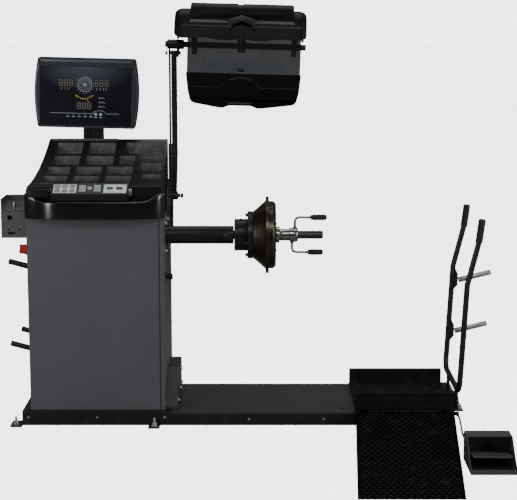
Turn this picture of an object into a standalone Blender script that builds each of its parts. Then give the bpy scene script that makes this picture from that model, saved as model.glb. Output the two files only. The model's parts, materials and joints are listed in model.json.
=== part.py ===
"""Truck wheel balancer: cabinet with weight tray and display, spindle, wheel guard, rail with lifting
trolley and ramp, and a foot pedal on an air hose.

Metres, +Z up, +X along the spindle, the operator stands at -Y. The origin is on the floor under the
spindle's axis, in the middle of the base frame's length.
"""
import bmesh
import bpy
from math import atan2, cos, hypot, pi, radians, sin
from mathutils import Matrix, Vector

for leftover in list(bpy.data.objects):
    bpy.data.objects.remove(leftover, do_unlink=True)

# General fits
GAP = 0.0003
PIN_CLEARANCE = 0.0005
SIDES = 24

# Base frame: plinth under the cabinet and the rail that the trolley slides on
FRONT_Y = -0.170
PLINTH_LEFT = -0.691
PLINTH_RIGHT = -0.069
PLINTH_BACK_Y = 0.400
PLINTH_WALL = 0.004
PLINTH_FOOT = 0.050
RAIL_END = 1.090
RAIL_BACK_Y = 0.275
RAIL_HEIGHT = 0.058
COVER_SHEET = 0.0025
COVER_LIP = 0.012
LUG_SHEET = 0.008
RAIL_TOP = RAIL_HEIGHT + GAP + COVER_SHEET

# Cabinet and what stands on it
CABINET_LEFT = -0.657
CABINET_RIGHT = -0.098
CABINET_FRONT_Y = -0.152
CABINET_BACK_Y = 0.368
CABINET_TOP = 0.868
CABINET_SHEET = 0.003
TRAY_BACK_Y = 0.270
TRAY_BACK_LEFT = -0.612
TRAY_FRONT_LEFT = -0.650
TRAY_RIGHT = -0.101
DECK_FRONT_Z = 0.997
DECK_SLOPE = 0.098
DECK_CURVE = 0.640
TRAY_SKIN = 0.005
DECK_THICKNESS = 0.060
BIN_DEPTH = 0.040
BIN_SHALLOW = 0.010
BIN_STEEPNESS = 0.70
BIN_SCOOP = 0.010
BIN_BACK_DRAFT = 0.003
BIN_SIDE_DRAFT = 0.08
FASCIA_LEFT = -0.660
FASCIA_RIGHT = -0.092
FASCIA_BOW = 0.048
FASCIA_TOP = 0.972
FASCIA_DIP = 0.032

# Keypad on the tray's front edge
KEYPAD_LEFT = -0.548
KEYPAD_RIGHT = -0.239
KEYPAD_FRONT_Y = -0.190
KEYPAD_BACK_Y = -0.1263
KEYPAD_LOW_Z = 0.9425
KEYPAD_SEAT_Z = 0.985
KEYPAD_FRONT_Z = 0.970
KEYPAD_BACK_Z = 1.0075
KEY_TRAVEL = 0.0015
KEY_HEIGHT = 0.004

# Display on its mast
DISPLAY_X = -0.447
DISPLAY_Z = 1.350
DISPLAY_WIDTH = 0.421
DISPLAY_BULGE = 0.013
DISPLAY_HEIGHT = 0.299
DISPLAY_FRONT_Y = 0.250
DISPLAY_DEPTH = 0.045
DISPLAY_LEAN = radians(1.4)
SCREEN_WIDTH = 0.393
SCREEN_HEIGHT = 0.252
SCREEN_DROP = 0.014
SCREEN_SHIFT = -0.004
SCREEN_GLASS = 0.003
MAST_X = -0.4275
MAST_WIDTH = 0.086
MAST_Y = 0.325
MAST_DEPTH = 0.044
MAST_TOP = 1.196
SWIVEL_HEIGHT = 0.150

# Left side: holder box, main switch and pegs
HOLDER_LEFT = -0.782
HOLDER_LOW_Z = 0.764
HOLDER_FRONT_Z = 0.878
HOLDER_BACK_Z = 0.906
HOLDER_FRONT_Y = -0.020
HOLDER_BACK_Y = 0.130
HOLDER_SHEET = 0.003
SWITCH_Z = 0.714
SWITCH_PLATE = 0.060
SWITCH_PLATE_DEPTH = 0.010
SWITCH_KNOB = 0.040
SWITCH_KNOB_DEPTH = 0.042
PEG_DIAMETER = 0.024
PEG_LENGTH = 0.100
PEG_STRIP = 0.005
PEG_RISE = radians(15)
PEG_ROWS_Z = (0.285, 0.637)
PEG_COLUMNS_Y = (0.0, 0.280)

# Spindle, bearings and drive
SPINDLE_Z = 0.775
SHAFT_DIAMETER = 0.036
SHAFT_LEFT = CABINET_RIGHT - 0.372
SHAFT_RIGHT = 0.560
HOUSING_DIAMETER = 0.075
HOUSING_BORE = 0.058
HOUSING_LEFT = CABINET_RIGHT - 0.282
HOUSING_RIGHT = 0.186
HOUSING_PLATE = 0.150
HOUSING_PLATE_SHEET = 0.010
BEARING_WIDTH = 0.018
BEARING_INSET = 0.002
BEARING_SHOULDER = 0.004
COLLAR_DIAMETER = 0.133
COLLAR_RIGHT = 0.2445
BACKING_DIAMETER = 0.198
BACKING_RIGHT = 0.2666
FLARE_DIAMETER = 0.289
RIM_LEFT = 0.3197
RIM_DIAMETER = 0.322
RIM_RIGHT = 0.3331
CENTRING_DIAMETER = 0.283
CENTRING_RIGHT = 0.3628
RING_DIAMETER = 0.068
RING_RIGHT = 0.3776
SLEEVE_DIAMETER = 0.049
SLEEVE_RIGHT = 0.4196
NUT_DIAMETER = 0.059
NUT_RIGHT = 0.4547
CRANK_DIAMETER = 0.010
CRANK_GRIP_DIAMETER = 0.0245
CRANK_UPPER_X = 0.4420
CRANK_LOWER_X = 0.4300
CRANK_REACH = 0.0735
CRANK_UPPER_GRIP = (0.509, 0.575)
CRANK_LOWER_GRIP = (0.496, 0.560)
PULLEY_DIAMETER = 0.160
PULLEY_WIDTH = 0.024
MOTOR_PULLEY_DIAMETER = 0.064
MOTOR_Z = 0.420
MOTOR_DIAMETER = 0.140
MOTOR_LENGTH = 0.210
BELT_THICKNESS = 0.004

# Wheel guard: parallel arms on the cabinet's right side carry a hood on a level tube
GUARD_Y = 0.120
GUARD_Z = 0.925
GUARD_ARM = 0.600
TIE_OFFSET = (0.060, 0.020)
POST_X = -0.063
POST_WIDTH = 0.0235
POST_FOOT_TOP = 1.120
TIE_X = -0.085
TIE_DIAMETER = 0.006
GUARD_LEAN = radians(1.6)
GUARD_TUBE_DIAMETER = 0.025
GUARD_TUBE_RISE = 0.036
GUARD_TUBE_LEFT = -0.100
GUARD_TUBE_RIGHT = 0.488
HOOD_SHEET = 0.004
HOOD_LEFT = -0.059
HOOD_RIGHT = 0.487
ROLL_LEFT = 0.007
ROLL_RIGHT = 0.433
WINDOW_LEFT = -0.006
WINDOW_RIGHT = 0.468
WINDOW_SHEET = 0.003
HOOD_TOP_Z = 1.735
SHOULDER_Z = 1.710
WINDOW_TOP_Z = 1.596
WINDOW_LOW_Z = 1.452
HOOD_LOW_Z = 1.306

# Trolley, lift arms and ramp
TROLLEY_LEFT = 0.690
TROLLEY_RIGHT = 1.100
TROLLEY_PLATE = 0.004
TROLLEY_LIFT_GAP = 0.0015
SKIRT_GAP = 0.003
SKIRT_SHEET = 0.003
PLATFORM_SHEET = 0.003
PLATFORM_GAP = 0.0035
APRON_TOP = 0.1405
BACK_WALL_TOP = 0.1305
BACK_WALL_WIDTH = 0.030
WEDGE_FOOT_Y = -0.100
LIFT_ARM = 0.260
LIFT_ARM_WIDTH = 0.018
LIFT_ARM_SHEET = 0.005
LIFT_LUG_SHEET = 0.004
LIFT_PIN_DIAMETER = 0.008
LIFT_FIRST_X = 0.740
LIFT_STEP_X = 0.060
RAMP_SHEET = 0.004
RAMP_RUN = 0.895
RAMP_TOE = (0.640, 1.024)
RAMP_HINGE_DIAMETER = 0.010
RAMP_EYE_WALL = 0.003
RAMP_RIB_INSET = 0.02
RAMP_RIB_SHORT = 0.090
RAMP_RIB_LOW = 0.018

# Handle frame with its storage pegs
FRAME_TUBE = 0.024
FRAME_FRONT_Y = -0.200
FRAME_REAR_Y = 0.240
FRAME_BAR = (1.115, 0.148)
FRAME_SIDE = ((1.121, 0.250), (1.139, 0.600), (1.182, 0.775), (1.193, 0.866))
FRAME_BEND = 0.050
FRAME_FOOT = 0.040
GRIP_LENGTH = 0.092
GRIP_WALL = 0.003
STORE_PEG_LENGTH = 0.145
STORE_PEG_RISE = radians(14)
STORE_PEG_Z = (0.310, 0.538)

# Foot pedal and air hose
PEDAL_LEFT = 1.078
PEDAL_RIGHT = 1.252
PEDAL_BACK_Y = -0.617
PEDAL_FRONT_Y = -0.820
PEDAL_HEIGHT = 0.112
PEDAL_SHEET = 0.003
PEDAL_AXLE_Z = 0.030
HOSE_DIAMETER = 0.008
HOSE_START = (1.1165, -0.1688, 0.045)
HOSE_END = (1.100, -0.5973, 0.052)
HOSE_ON_FLOOR = 0.0043
HOSE_BOW = 0.008
HOSE_FALL = (0.05, 0.32)
HOSE_RISE = (0.64, 0.94)
HOSE_STEPS = 26
ELBOW_Y = -0.150


# Modelling helpers
def paint(name, colour, roughness, metallic=0.0):
    """A Principled material."""
    material = bpy.data.materials.new(name)
    material.use_nodes = True
    shader = material.node_tree.nodes["Principled BSDF"]
    shader.inputs["Base Color"].default_value = (*colour, 1.0)
    shader.inputs["Roughness"].default_value = roughness
    shader.inputs["Metallic"].default_value = metallic
    return material


def world_place(thing):
    """Place of an empty whose parents are only moved, never turned."""
    place = thing.location.copy()
    while thing.parent:
        thing = thing.parent
        place += thing.location
    return place


def axis_empty(name, place, parent=None):
    """An empty on a joint's axis, which the pieces that move about it hang on."""
    empty = bpy.data.objects.new(name, None)
    bpy.context.collection.objects.link(empty)
    empty.location = Vector(place)
    if parent:
        empty.parent = parent
        empty.location -= world_place(parent)
    return empty


def add_part(name, shape, material, parent=None, smooth=False):
    """One named object from a closed bmesh in world places."""
    bmesh.ops.remove_doubles(shape, verts=shape.verts, dist=1e-6)
    bmesh.ops.recalc_face_normals(shape, faces=shape.faces)
    mesh = bpy.data.meshes.new(name)
    shape.to_mesh(mesh)
    shape.free()
    mesh.materials.append(material)
    if smooth:
        mesh.shade_smooth()
        mesh.set_sharp_from_angle(angle=radians(35))
    part = bpy.data.objects.new(name, mesh)
    bpy.context.collection.objects.link(part)
    if parent:
        mesh.transform(Matrix.Translation(-world_place(parent)))
        part.parent = parent
    return part


def boolean(part, shape, operation):
    """Cut a bmesh from a part, join it on, or keep what they share."""
    bmesh.ops.recalc_face_normals(shape, faces=shape.faces)
    mesh = bpy.data.meshes.new(part.name + " tool")
    shape.to_mesh(mesh)
    shape.free()
    tool = bpy.data.objects.new(mesh.name, mesh)
    bpy.context.collection.objects.link(tool)
    tool.hide_render = True
    tool.display_type = "WIRE"
    modifier = part.modifiers.new(operation.lower(), "BOOLEAN")
    modifier.object = tool
    modifier.operation = operation
    modifier.solver = "EXACT"


def cut(part, shape):
    boolean(part, shape, "DIFFERENCE")


def join(part, shape):
    boolean(part, shape, "UNION")


def gather(*shapes):
    """Several bmeshes that don't touch, as one tool."""
    whole = bmesh.new()
    for shape in shapes:
        mesh = bpy.data.meshes.new("piece")
        shape.to_mesh(mesh)
        shape.free()
        whole.from_mesh(mesh)
        bpy.data.meshes.remove(mesh)
    return whole


def box(x_from, x_to, y_from, y_to, z_from, z_to):
    return prism([(x_from, y_from), (x_to, y_from), (x_to, y_to), (x_from, y_to)], "Z", z_from, z_to)


def prism(outline, axis, start, end):
    """A flat outline pushed along X (outline in Y,Z), Y (in X,Z) or Z (in X,Y)."""
    shape = bmesh.new()
    spot = {"X": lambda p, d: (d, p[0], p[1]), "Y": lambda p, d: (p[0], d, p[1]), "Z": lambda p, d: (*p, d)}
    face = shape.faces.new([shape.verts.new(spot[axis](point, start)) for point in outline])
    pushed = bmesh.ops.extrude_face_region(shape, geom=[face])
    step = Vector(spot[axis]((0.0, 0.0), end - start))
    moved = [item for item in pushed["geom"] if isinstance(item, bmesh.types.BMVert)]
    bmesh.ops.translate(shape, verts=moved, vec=step)
    bmesh.ops.recalc_face_normals(shape, faces=shape.faces)
    return shape


def turned(profile, centre, direction=(1, 0, 0), sides=SIDES, bored=False):
    """A turned piece: (distance along, radius) points about an axis; a bored one is a closed loop."""
    turn = Vector((1, 0, 0)).rotation_difference(Vector(direction)).to_matrix().to_4x4()
    frame = Matrix.Translation(centre) @ turn
    shape = bmesh.new()
    rings = []
    for along, radius in profile:
        angles = [2 * pi * (step + 0.5) / sides for step in range(sides)]
        ring = [frame @ Vector((along, radius * cos(a), radius * sin(a))) for a in angles]
        rings.append([shape.verts.new(place) for place in ring])
    pairs = list(zip(rings, rings[1:]))
    if bored:
        pairs.append((rings[-1], rings[0]))
    else:
        shape.faces.new(rings[0])
        shape.faces.new(rings[-1])
    for first, second in pairs:
        for step in range(sides):
            after = (step + 1) % sides
            shape.faces.new([first[step], first[after], second[after], second[step]])
    bmesh.ops.recalc_face_normals(shape, faces=shape.faces)
    return shape


def rod(start, end, diameter, sides=SIDES):
    """A round bar between two places."""
    span = Vector(end) - Vector(start)
    return turned([(0, diameter / 2), (span.length, diameter / 2)], start, span, sides)


def rounded_route(corners, bend, steps=5):
    """The same route with every corner turned into an arc."""
    route = [Vector(corners[0])]
    for before, corner, after in zip(corners, corners[1:], corners[2:]):
        corner = Vector(corner)
        back = (Vector(before) - corner).normalized()
        ahead = (Vector(after) - corner).normalized()
        turn = pi - back.angle(ahead)
        reach = bend * sin(turn / 2) / cos(turn / 2)
        middle = corner + (back + ahead).normalized() * bend / cos(turn / 2)
        first = corner + back * reach - middle
        last = corner + ahead * reach - middle
        for step in range(steps + 1):
            route.append(middle + first.slerp(last, step / steps).normalized() * first.length)
    route.append(Vector(corners[-1]))
    return route


def swept(route, diameter, sides=16):
    """A round bar along a route of places."""
    shape = bmesh.new()
    normal = (route[1] - route[0]).orthogonal().normalized()
    rings = []
    for index, place in enumerate(route):
        before = (place - route[index - 1]).normalized() if index else None
        after = (route[index + 1] - place).normalized() if index < len(route) - 1 else None
        heading = ((before or after) + (after or before)).normalized()
        normal = (normal - heading * normal.dot(heading)).normalized()
        side = heading.cross(normal)
        angles = [2 * pi * step / sides for step in range(sides)]
        ring = [place + (normal * cos(a) + side * sin(a)) * diameter / 2 for a in angles]
        rings.append([shape.verts.new(spot) for spot in ring])
    for first, second in zip(rings, rings[1:]):
        for step in range(sides):
            after = (step + 1) % sides
            shape.faces.new([first[step], first[after], second[after], second[step]])
    shape.faces.new(rings[0])
    shape.faces.new(rings[-1])
    bmesh.ops.recalc_face_normals(shape, faces=shape.faces)
    return shape


def leaned(shape, place, angle):
    """Tip a bmesh about the Y line through a place, right side down."""
    turn = Matrix.Translation(place) @ Matrix.Rotation(angle, 4, "Y") @ Matrix.Translation(-Vector(place))
    shape.transform(turn)
    return shape


BLACK_COAT = paint("black powder coat", (0.012, 0.012, 0.013), 0.42)
GREY_COAT = paint("grey powder coat", (0.055, 0.058, 0.064), 0.48)
BLACK_PLASTIC = paint("black moulded plastic", (0.014, 0.014, 0.015), 0.45)
GLOSS_BLACK = paint("gloss black plastic", (0.006, 0.006, 0.007), 0.12)
SLATE_PLASTIC = paint("slate display plastic", (0.045, 0.055, 0.070), 0.40)
SCREEN = paint("navy screen glass", (0.004, 0.006, 0.014), 0.08)
KEY_GREY = paint("grey keys", (0.36, 0.37, 0.38), 0.45)
KEY_GREEN = paint("green key", (0.05, 0.32, 0.12), 0.45)
KEY_RED = paint("dark red key", (0.30, 0.03, 0.03), 0.45)
SWITCH_YELLOW = paint("orange switch plate", (0.85, 0.25, 0.08), 0.45)
SWITCH_RED = paint("red switch knob", (0.80, 0.06, 0.03), 0.40)
STEEL = paint("bright steel", (0.55, 0.55, 0.56), 0.30, 1.0)
CHROME = paint("chromed steel", (0.75, 0.75, 0.76), 0.12, 1.0)
BRONZE = paint("dark oiled steel", (0.055, 0.045, 0.036), 0.32, 1.0)
ZINC = paint("zinc plated steel", (0.62, 0.63, 0.62), 0.35, 1.0)
RUBBER = paint("black rubber", (0.020, 0.020, 0.020), 0.75)
SMOKED = paint("smoked window", (0.10, 0.11, 0.13), 0.10)
LIGHT_COAT = paint("light grey coat", (0.32, 0.32, 0.33), 0.50)


def make_base():
    """Welded plinth and rail with anchor lugs, the rail's cover, and the gusset against the cabinet."""
    wall, foot = PLINTH_WALL, PLINTH_FOOT
    start = PLINTH_RIGHT + GAP
    base = add_part("base_frame", box(PLINTH_LEFT, PLINTH_RIGHT, FRONT_Y, PLINTH_BACK_Y, 0, RAIL_TOP),
                    BLACK_COAT)
    join(base, box(PLINTH_RIGHT - wall / 2, RAIL_END, FRONT_Y, RAIL_BACK_Y, 0, RAIL_HEIGHT))
    cut(base, box(PLINTH_LEFT + wall, PLINTH_RIGHT - wall, FRONT_Y + wall, PLINTH_BACK_Y - wall,
                  wall, RAIL_TOP - wall))
    cut(base, box(PLINTH_RIGHT - 2 * wall, RAIL_END - wall, FRONT_Y + wall, RAIL_BACK_Y - wall,
                  wall, RAIL_HEIGHT - wall))
    cut(base, box(PLINTH_LEFT + foot, PLINTH_RIGHT - foot, FRONT_Y + foot, PLINTH_BACK_Y - foot,
                  -wall, 2 * wall))
    lug_left = box(PLINTH_LEFT - 0.046, PLINTH_LEFT + wall / 2, FRONT_Y - 0.030, FRONT_Y + 0.050, 0,
                   LUG_SHEET)
    lug_front = box(PLINTH_RIGHT - 0.096, PLINTH_RIGHT - 0.049, FRONT_Y - 0.052, FRONT_Y + wall / 2, 0,
                    LUG_SHEET)
    join(base, gather(lug_left, lug_front))
    x, y, z = HOSE_START
    join(base, rod((RAIL_END - wall / 2, ELBOW_Y, z), (x + HOSE_DIAMETER, ELBOW_Y, z), 2 * HOSE_DIAMETER,
                   20))
    join(base, rod((x, ELBOW_Y, z), (x, y + GAP, z), 1.8 * HOSE_DIAMETER, 20))

    lip_low = RAIL_TOP - COVER_LIP
    under = RAIL_HEIGHT + GAP
    front, back = FRONT_Y - GAP, RAIL_BACK_Y + GAP
    profile = [(front, lip_low), (front, under), (back, under), (back, lip_low),
               (back + COVER_SHEET, lip_low), (back + COVER_SHEET, RAIL_TOP),
               (front - COVER_SHEET, RAIL_TOP), (front - COVER_SHEET, lip_low)]
    add_part("rail_cover", prism(profile, "X", start, RAIL_END), BLACK_COAT)

    floor = RAIL_TOP + GAP
    rise = [(FRONT_Y + 0.030, floor), (0.255, floor), (0.255, 0.190), (0.060, 0.190),
            (FRONT_Y + 0.030, 0.075)]
    gusset = add_part("rail_gusset", prism(rise, "X", CABINET_RIGHT + GAP, -0.049), LIGHT_COAT)
    hollow = [(FRONT_Y + 0.045, floor - wall), (0.250, floor - wall), (0.250, 0.186), (0.062, 0.186),
              (FRONT_Y + 0.045, 0.078)]
    cut(gusset, prism(hollow, "X", CABINET_RIGHT + GAP + 0.003, -0.052))


def make_cabinet():
    """Folded front and sides, and the rear cover with the strip that the mast stands on."""
    low = RAIL_TOP + GAP
    left, right, front, back = CABINET_LEFT, CABINET_RIGHT, CABINET_FRONT_Y, CABINET_BACK_Y
    sheet = CABINET_SHEET
    plan = [(left, back), (left, front), (right, front), (right, back), (right - sheet, back),
            (right - sheet, front + sheet), (left + sheet, front + sheet), (left + sheet, back)]
    shell = add_part("cabinet_shell", prism(plan, "Z", low, CABINET_TOP), GREY_COAT)
    hole = HOUSING_DIAMETER + 4 * GAP
    cut(shell, rod((right - 0.05, 0, SPINDLE_Z), (right + 0.05, 0, SPINDLE_Z), hole))

    inside_left, inside_right = left + sheet + GAP, right - sheet - GAP
    strip_front = TRAY_BACK_Y + GAP
    top = CABINET_TOP
    rear = add_part("rear_cover", box(left, right, back + GAP, back + GAP + sheet, low, top), GREY_COAT)
    join(rear, box(inside_left, inside_right, strip_front, back + GAP + sheet / 2, top - sheet, top))


def deck_height(y):
    """Height of the tray's deck at a depth: nearly level at the operator, ever steeper to the back."""
    run = y - CABINET_FRONT_Y
    return DECK_FRONT_Z + DECK_SLOPE * run + DECK_CURVE * run ** 2


def bin_plan():
    """(left, right, front, back) of every weight bin: five staggered rows and a right-hand column."""
    rows = (
        (0.172, 0.247, ((-0.577, -0.461), (-0.440, -0.320), (-0.282, -0.112))),
        (0.087, 0.160, ((-0.579, -0.465), (-0.443, -0.321), (-0.300, -0.232))),
        (0.003, 0.075, ((-0.597, -0.497), (-0.476, -0.363), (-0.346, -0.234))),
        (-0.083, -0.010, ((-0.601, -0.499), (-0.478, -0.367), (-0.346, -0.235))),
        (-0.120, -0.094, ((-0.610, -0.510), (-0.489, -0.367), (-0.350, -0.236))),
        (0.122, 0.160, ((-0.215, -0.112),)),
        (0.035, 0.105, ((-0.206, -0.112),)),
        (-0.050, 0.005, ((-0.194, -0.113),)),
    )
    return [(left, right, front, back) for front, back, row in rows for left, right in row]


def make_tray():
    """Moulded weight tray: a sloping deck full of bins on a skirt, and the bowed fascia before it."""
    low = CABINET_TOP + GAP
    steps = 8
    depths = [CABINET_FRONT_Y + (TRAY_BACK_Y - CABINET_FRONT_Y) * step / steps for step in range(steps + 1)]
    side = [(CABINET_FRONT_Y, low)] + [(y, deck_height(y)) for y in depths] + [(TRAY_BACK_Y, low)]
    block = prism(side, "X", TRAY_FRONT_LEFT, TRAY_RIGHT)
    narrowing = (TRAY_BACK_LEFT - TRAY_FRONT_LEFT) / (TRAY_BACK_Y - CABINET_FRONT_Y)
    for corner in block.verts:
        if corner.co.x < TRAY_BACK_LEFT:
            corner.co.x += narrowing * (corner.co.y - CABINET_FRONT_Y)
    tray = add_part("weight_tray", block, BLACK_PLASTIC)
    skin_front, skin_back = CABINET_FRONT_Y + TRAY_SKIN, TRAY_BACK_Y - TRAY_SKIN
    under = [(skin_front, low - 0.01)]
    under += [(max(skin_front, min(skin_back, y)), deck_height(y) - DECK_THICKNESS) for y in depths]
    under += [(skin_back, low - 0.01)]
    cut(tray, prism(under, "X", TRAY_BACK_LEFT + TRAY_SKIN, TRAY_RIGHT - TRAY_SKIN))
    pockets = []
    for left, right, front, back in bin_plan():
        depth = min(BIN_DEPTH, BIN_SHALLOW + BIN_STEEPNESS * (back - front))
        floor_front, floor_back = front + BIN_SCOOP, back - BIN_BACK_DRAFT
        pocket = bmesh.new()
        side_draft = BIN_SIDE_DRAFT * (right - left)
        rings = []
        for x_in, near, far, drop in ((0, front, back, -0.02), (side_draft, floor_front, floor_back, depth)):
            rings.append([pocket.verts.new((x, y, deck_height(y) - drop)) for x, y in (
                (left + x_in, near), (right - x_in, near), (right - x_in, far), (left + x_in, far))])
        pocket.faces.new(rings[0])
        pocket.faces.new(rings[1])
        for step in range(4):
            after = (step + 1) % 4
            pocket.faces.new([rings[0][step], rings[0][after], rings[1][after], rings[1][step]])
        bmesh.ops.recalc_face_normals(pocket, faces=pocket.faces)
        pockets.append(pocket)
    cut(tray, gather(*pockets))
    cut(tray, box(KEYPAD_LEFT - 2 * GAP, KEYPAD_RIGHT + 2 * GAP, CABINET_FRONT_Y - CABINET_SHEET,
                  KEYPAD_BACK_Y + 2 * GAP, KEYPAD_SEAT_Z, KEYPAD_BACK_Z))

    # The fascia's plan is a flat bow, and its top edge dips between two raised ends
    middle_x = (FASCIA_LEFT + FASCIA_RIGHT) / 2
    half = (FASCIA_RIGHT - FASCIA_LEFT) / 2
    back_y = CABINET_FRONT_Y - GAP
    steps = 28
    bow = [(FASCIA_RIGHT, back_y)]
    for step in range(steps + 1):
        across = 1 - 2 * step / steps
        bow.append((middle_x + half * across, back_y - 0.004 - FASCIA_BOW * (1 - across ** 4)))
    bow.append((FASCIA_LEFT, back_y))
    fascia = add_part("front_fascia", prism(bow, "Z", low, FASCIA_TOP), GLOSS_BLACK, smooth=True)
    rim = []
    for step in range(steps + 1):
        x = FASCIA_LEFT - 0.01 + (FASCIA_RIGHT - FASCIA_LEFT + 0.02) * step / steps
        near_end = min(abs(x - FASCIA_LEFT), abs(FASCIA_RIGHT - x))
        share = min(1.0, near_end / 0.090)
        rim.append((x, FASCIA_TOP - FASCIA_DIP * (0.5 - 0.5 * cos(pi * share))))
    rim += [(FASCIA_RIGHT + 0.01, FASCIA_TOP + 0.05), (FASCIA_LEFT - 0.01, FASCIA_TOP + 0.05)]
    cut(fascia, prism(rim, "Y", back_y - FASCIA_BOW - 0.05, back_y + 0.05))


def keypad_frame():
    """Local frame of the keypad's top face: X across, Y up the slope, Z off the face."""
    slope = atan2(KEYPAD_BACK_Z - KEYPAD_FRONT_Z, KEYPAD_BACK_Y - KEYPAD_FRONT_Y)
    return Matrix.Translation((0, KEYPAD_FRONT_Y, KEYPAD_FRONT_Z)) @ Matrix.Rotation(slope, 4, "X")


def make_keypad():
    """Keypad housing with pockets and the keys that sit in them."""
    seat_y = CABINET_FRONT_Y - 2 * GAP
    seat_z = KEYPAD_SEAT_Z + 2 * GAP
    side = [(KEYPAD_FRONT_Y, KEYPAD_LOW_Z), (KEYPAD_FRONT_Y, KEYPAD_FRONT_Z), (KEYPAD_BACK_Y, KEYPAD_BACK_Z),
            (KEYPAD_BACK_Y, seat_z), (seat_y, seat_z), (seat_y, KEYPAD_LOW_Z)]
    housing = add_part("keypad_housing", prism(side, "X", KEYPAD_LEFT, KEYPAD_RIGHT), BLACK_PLASTIC)
    frame = keypad_frame()
    face = hypot(KEYPAD_BACK_Y - KEYPAD_FRONT_Y, KEYPAD_BACK_Z - KEYPAD_FRONT_Z)
    middle = face * 0.52
    keys = (
        ("key_bank_left", -0.423, 0.030, 0.046, KEY_GREY),
        ("key_bank_right", -0.363, 0.030, 0.046, KEY_GREY),
        ("key_start", -0.312, 0.016, 0.012, KEY_GREEN),
        ("key_stop", -0.274, 0.016, 0.012, KEY_RED),
    )
    pockets = []
    slack = PIN_CLEARANCE
    for name, x, width, height, material in keys:
        key = box(x - width / 2, x + width / 2, middle - height / 2, middle + height / 2, -KEY_HEIGHT,
                  KEY_HEIGHT / 2)
        key.transform(frame)
        seat = frame @ Vector((x, middle, 0))
        add_part(name, key, material, axis_empty(name + " slide", seat))
        pocket = box(x - width / 2 - slack, x + width / 2 + slack, middle - height / 2 - slack,
                     middle + height / 2 + slack, -KEY_HEIGHT - KEY_TRAVEL - GAP, KEY_HEIGHT)
        pocket.transform(frame)
        pockets.append(pocket)
    x, size = -0.393, 0.021
    up = frame.to_3x3() @ Vector((0, 0, 1))
    low = frame @ Vector((x, middle, -KEY_HEIGHT))
    key = turned([(0, size / 2), (1.4 * KEY_HEIGHT, size / 2), (1.6 * KEY_HEIGHT, size / 2 - 0.001)], low,
                 up)
    add_part("key_select", key, KEY_GREY, axis_empty("key_select slide", frame @ Vector((x, middle, 0))),
             True)
    deep = frame @ Vector((x, middle, -KEY_HEIGHT - KEY_TRAVEL - GAP))
    pockets.append(turned([(0, size / 2 + slack), (4 * KEY_HEIGHT, size / 2 + slack)], deep, up))
    cut(housing, gather(*pockets))


def bulged_outline(width, height, bulge, corner, centre):
    """A rectangle with rounded corners whose upright sides bow out."""
    steps = 5
    half_w, half_h = width / 2, height / 2
    outline = []
    for sign_x, sign_z, start in ((1, 1, 0), (-1, 1, 90), (-1, -1, 180), (1, -1, 270)):
        for step in range(steps + 1):
            angle = radians(start + 90 * step / steps)
            outline.append((sign_x * (half_w - corner) + corner * cos(angle),
                            sign_z * (half_h - corner) + corner * sin(angle)))
        if sign_x < 0 < sign_z or sign_z < 0 < sign_x:
            for step in range(1, 8):
                share = step / 8
                z = sign_z * (half_h - corner) * (1 - 2 * share)
                outline.append((sign_x * (half_w + bulge * (1 - (1 - 2 * share) ** 2)), z))
    return [(centre[0] + x, centre[1] + z) for x, z in outline]


def make_display():
    """Mast, the swivelling housing on top of it, and the screen glass in the housing's face."""
    mast_left, mast_right = MAST_X - MAST_WIDTH / 2, MAST_X + MAST_WIDTH / 2
    mast_front, mast_back = MAST_Y - MAST_DEPTH / 2, MAST_Y + MAST_DEPTH / 2
    foot = CABINET_TOP + GAP
    mast = add_part("display_mast", box(mast_left, mast_right, mast_front, mast_back, foot, MAST_TOP),
                    BLACK_COAT)
    groove_x = mast_left + 0.030
    cut(mast, box(groove_x, groove_x + 0.004, mast_front - 0.01, mast_front + 0.006, foot + 0.01,
                  MAST_TOP + 0.01))

    swivel = axis_empty("display swivel", (MAST_X, MAST_Y, MAST_TOP))
    centre = (DISPLAY_X, 0, DISPLAY_Z)
    back_y = DISPLAY_FRONT_Y + DISPLAY_DEPTH
    outline = bulged_outline(DISPLAY_WIDTH, DISPLAY_HEIGHT, DISPLAY_BULGE, 0.012, (DISPLAY_X, DISPLAY_Z))
    case = leaned(prism(outline, "Y", DISPLAY_FRONT_Y, back_y), centre, DISPLAY_LEAN)
    housing = add_part("display_housing", case, SLATE_PLASTIC, swivel)
    screen_z = DISPLAY_Z - SCREEN_DROP
    half_w, half_h = SCREEN_WIDTH / 2, SCREEN_HEIGHT / 2

    def pane(margin, front, back):
        middle_x = DISPLAY_X + SCREEN_SHIFT
        sheet = box(middle_x - half_w - margin, middle_x + half_w + margin, front, back,
                    screen_z - half_h - margin, screen_z + half_h + margin)
        return leaned(sheet, centre, DISPLAY_LEAN)

    seat = DISPLAY_FRONT_Y + SCREEN_GLASS
    cut(housing, pane(GAP, DISPLAY_FRONT_Y - 0.01, seat + GAP))
    arm_low = MAST_TOP + GAP
    join(housing, box(MAST_X - 0.030, MAST_X + 0.030, back_y - 0.004, mast_back, arm_low,
                      arm_low + SWIVEL_HEIGHT))
    add_part("display_screen", pane(0, DISPLAY_FRONT_Y + GAP, seat), SCREEN, swivel)


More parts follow.
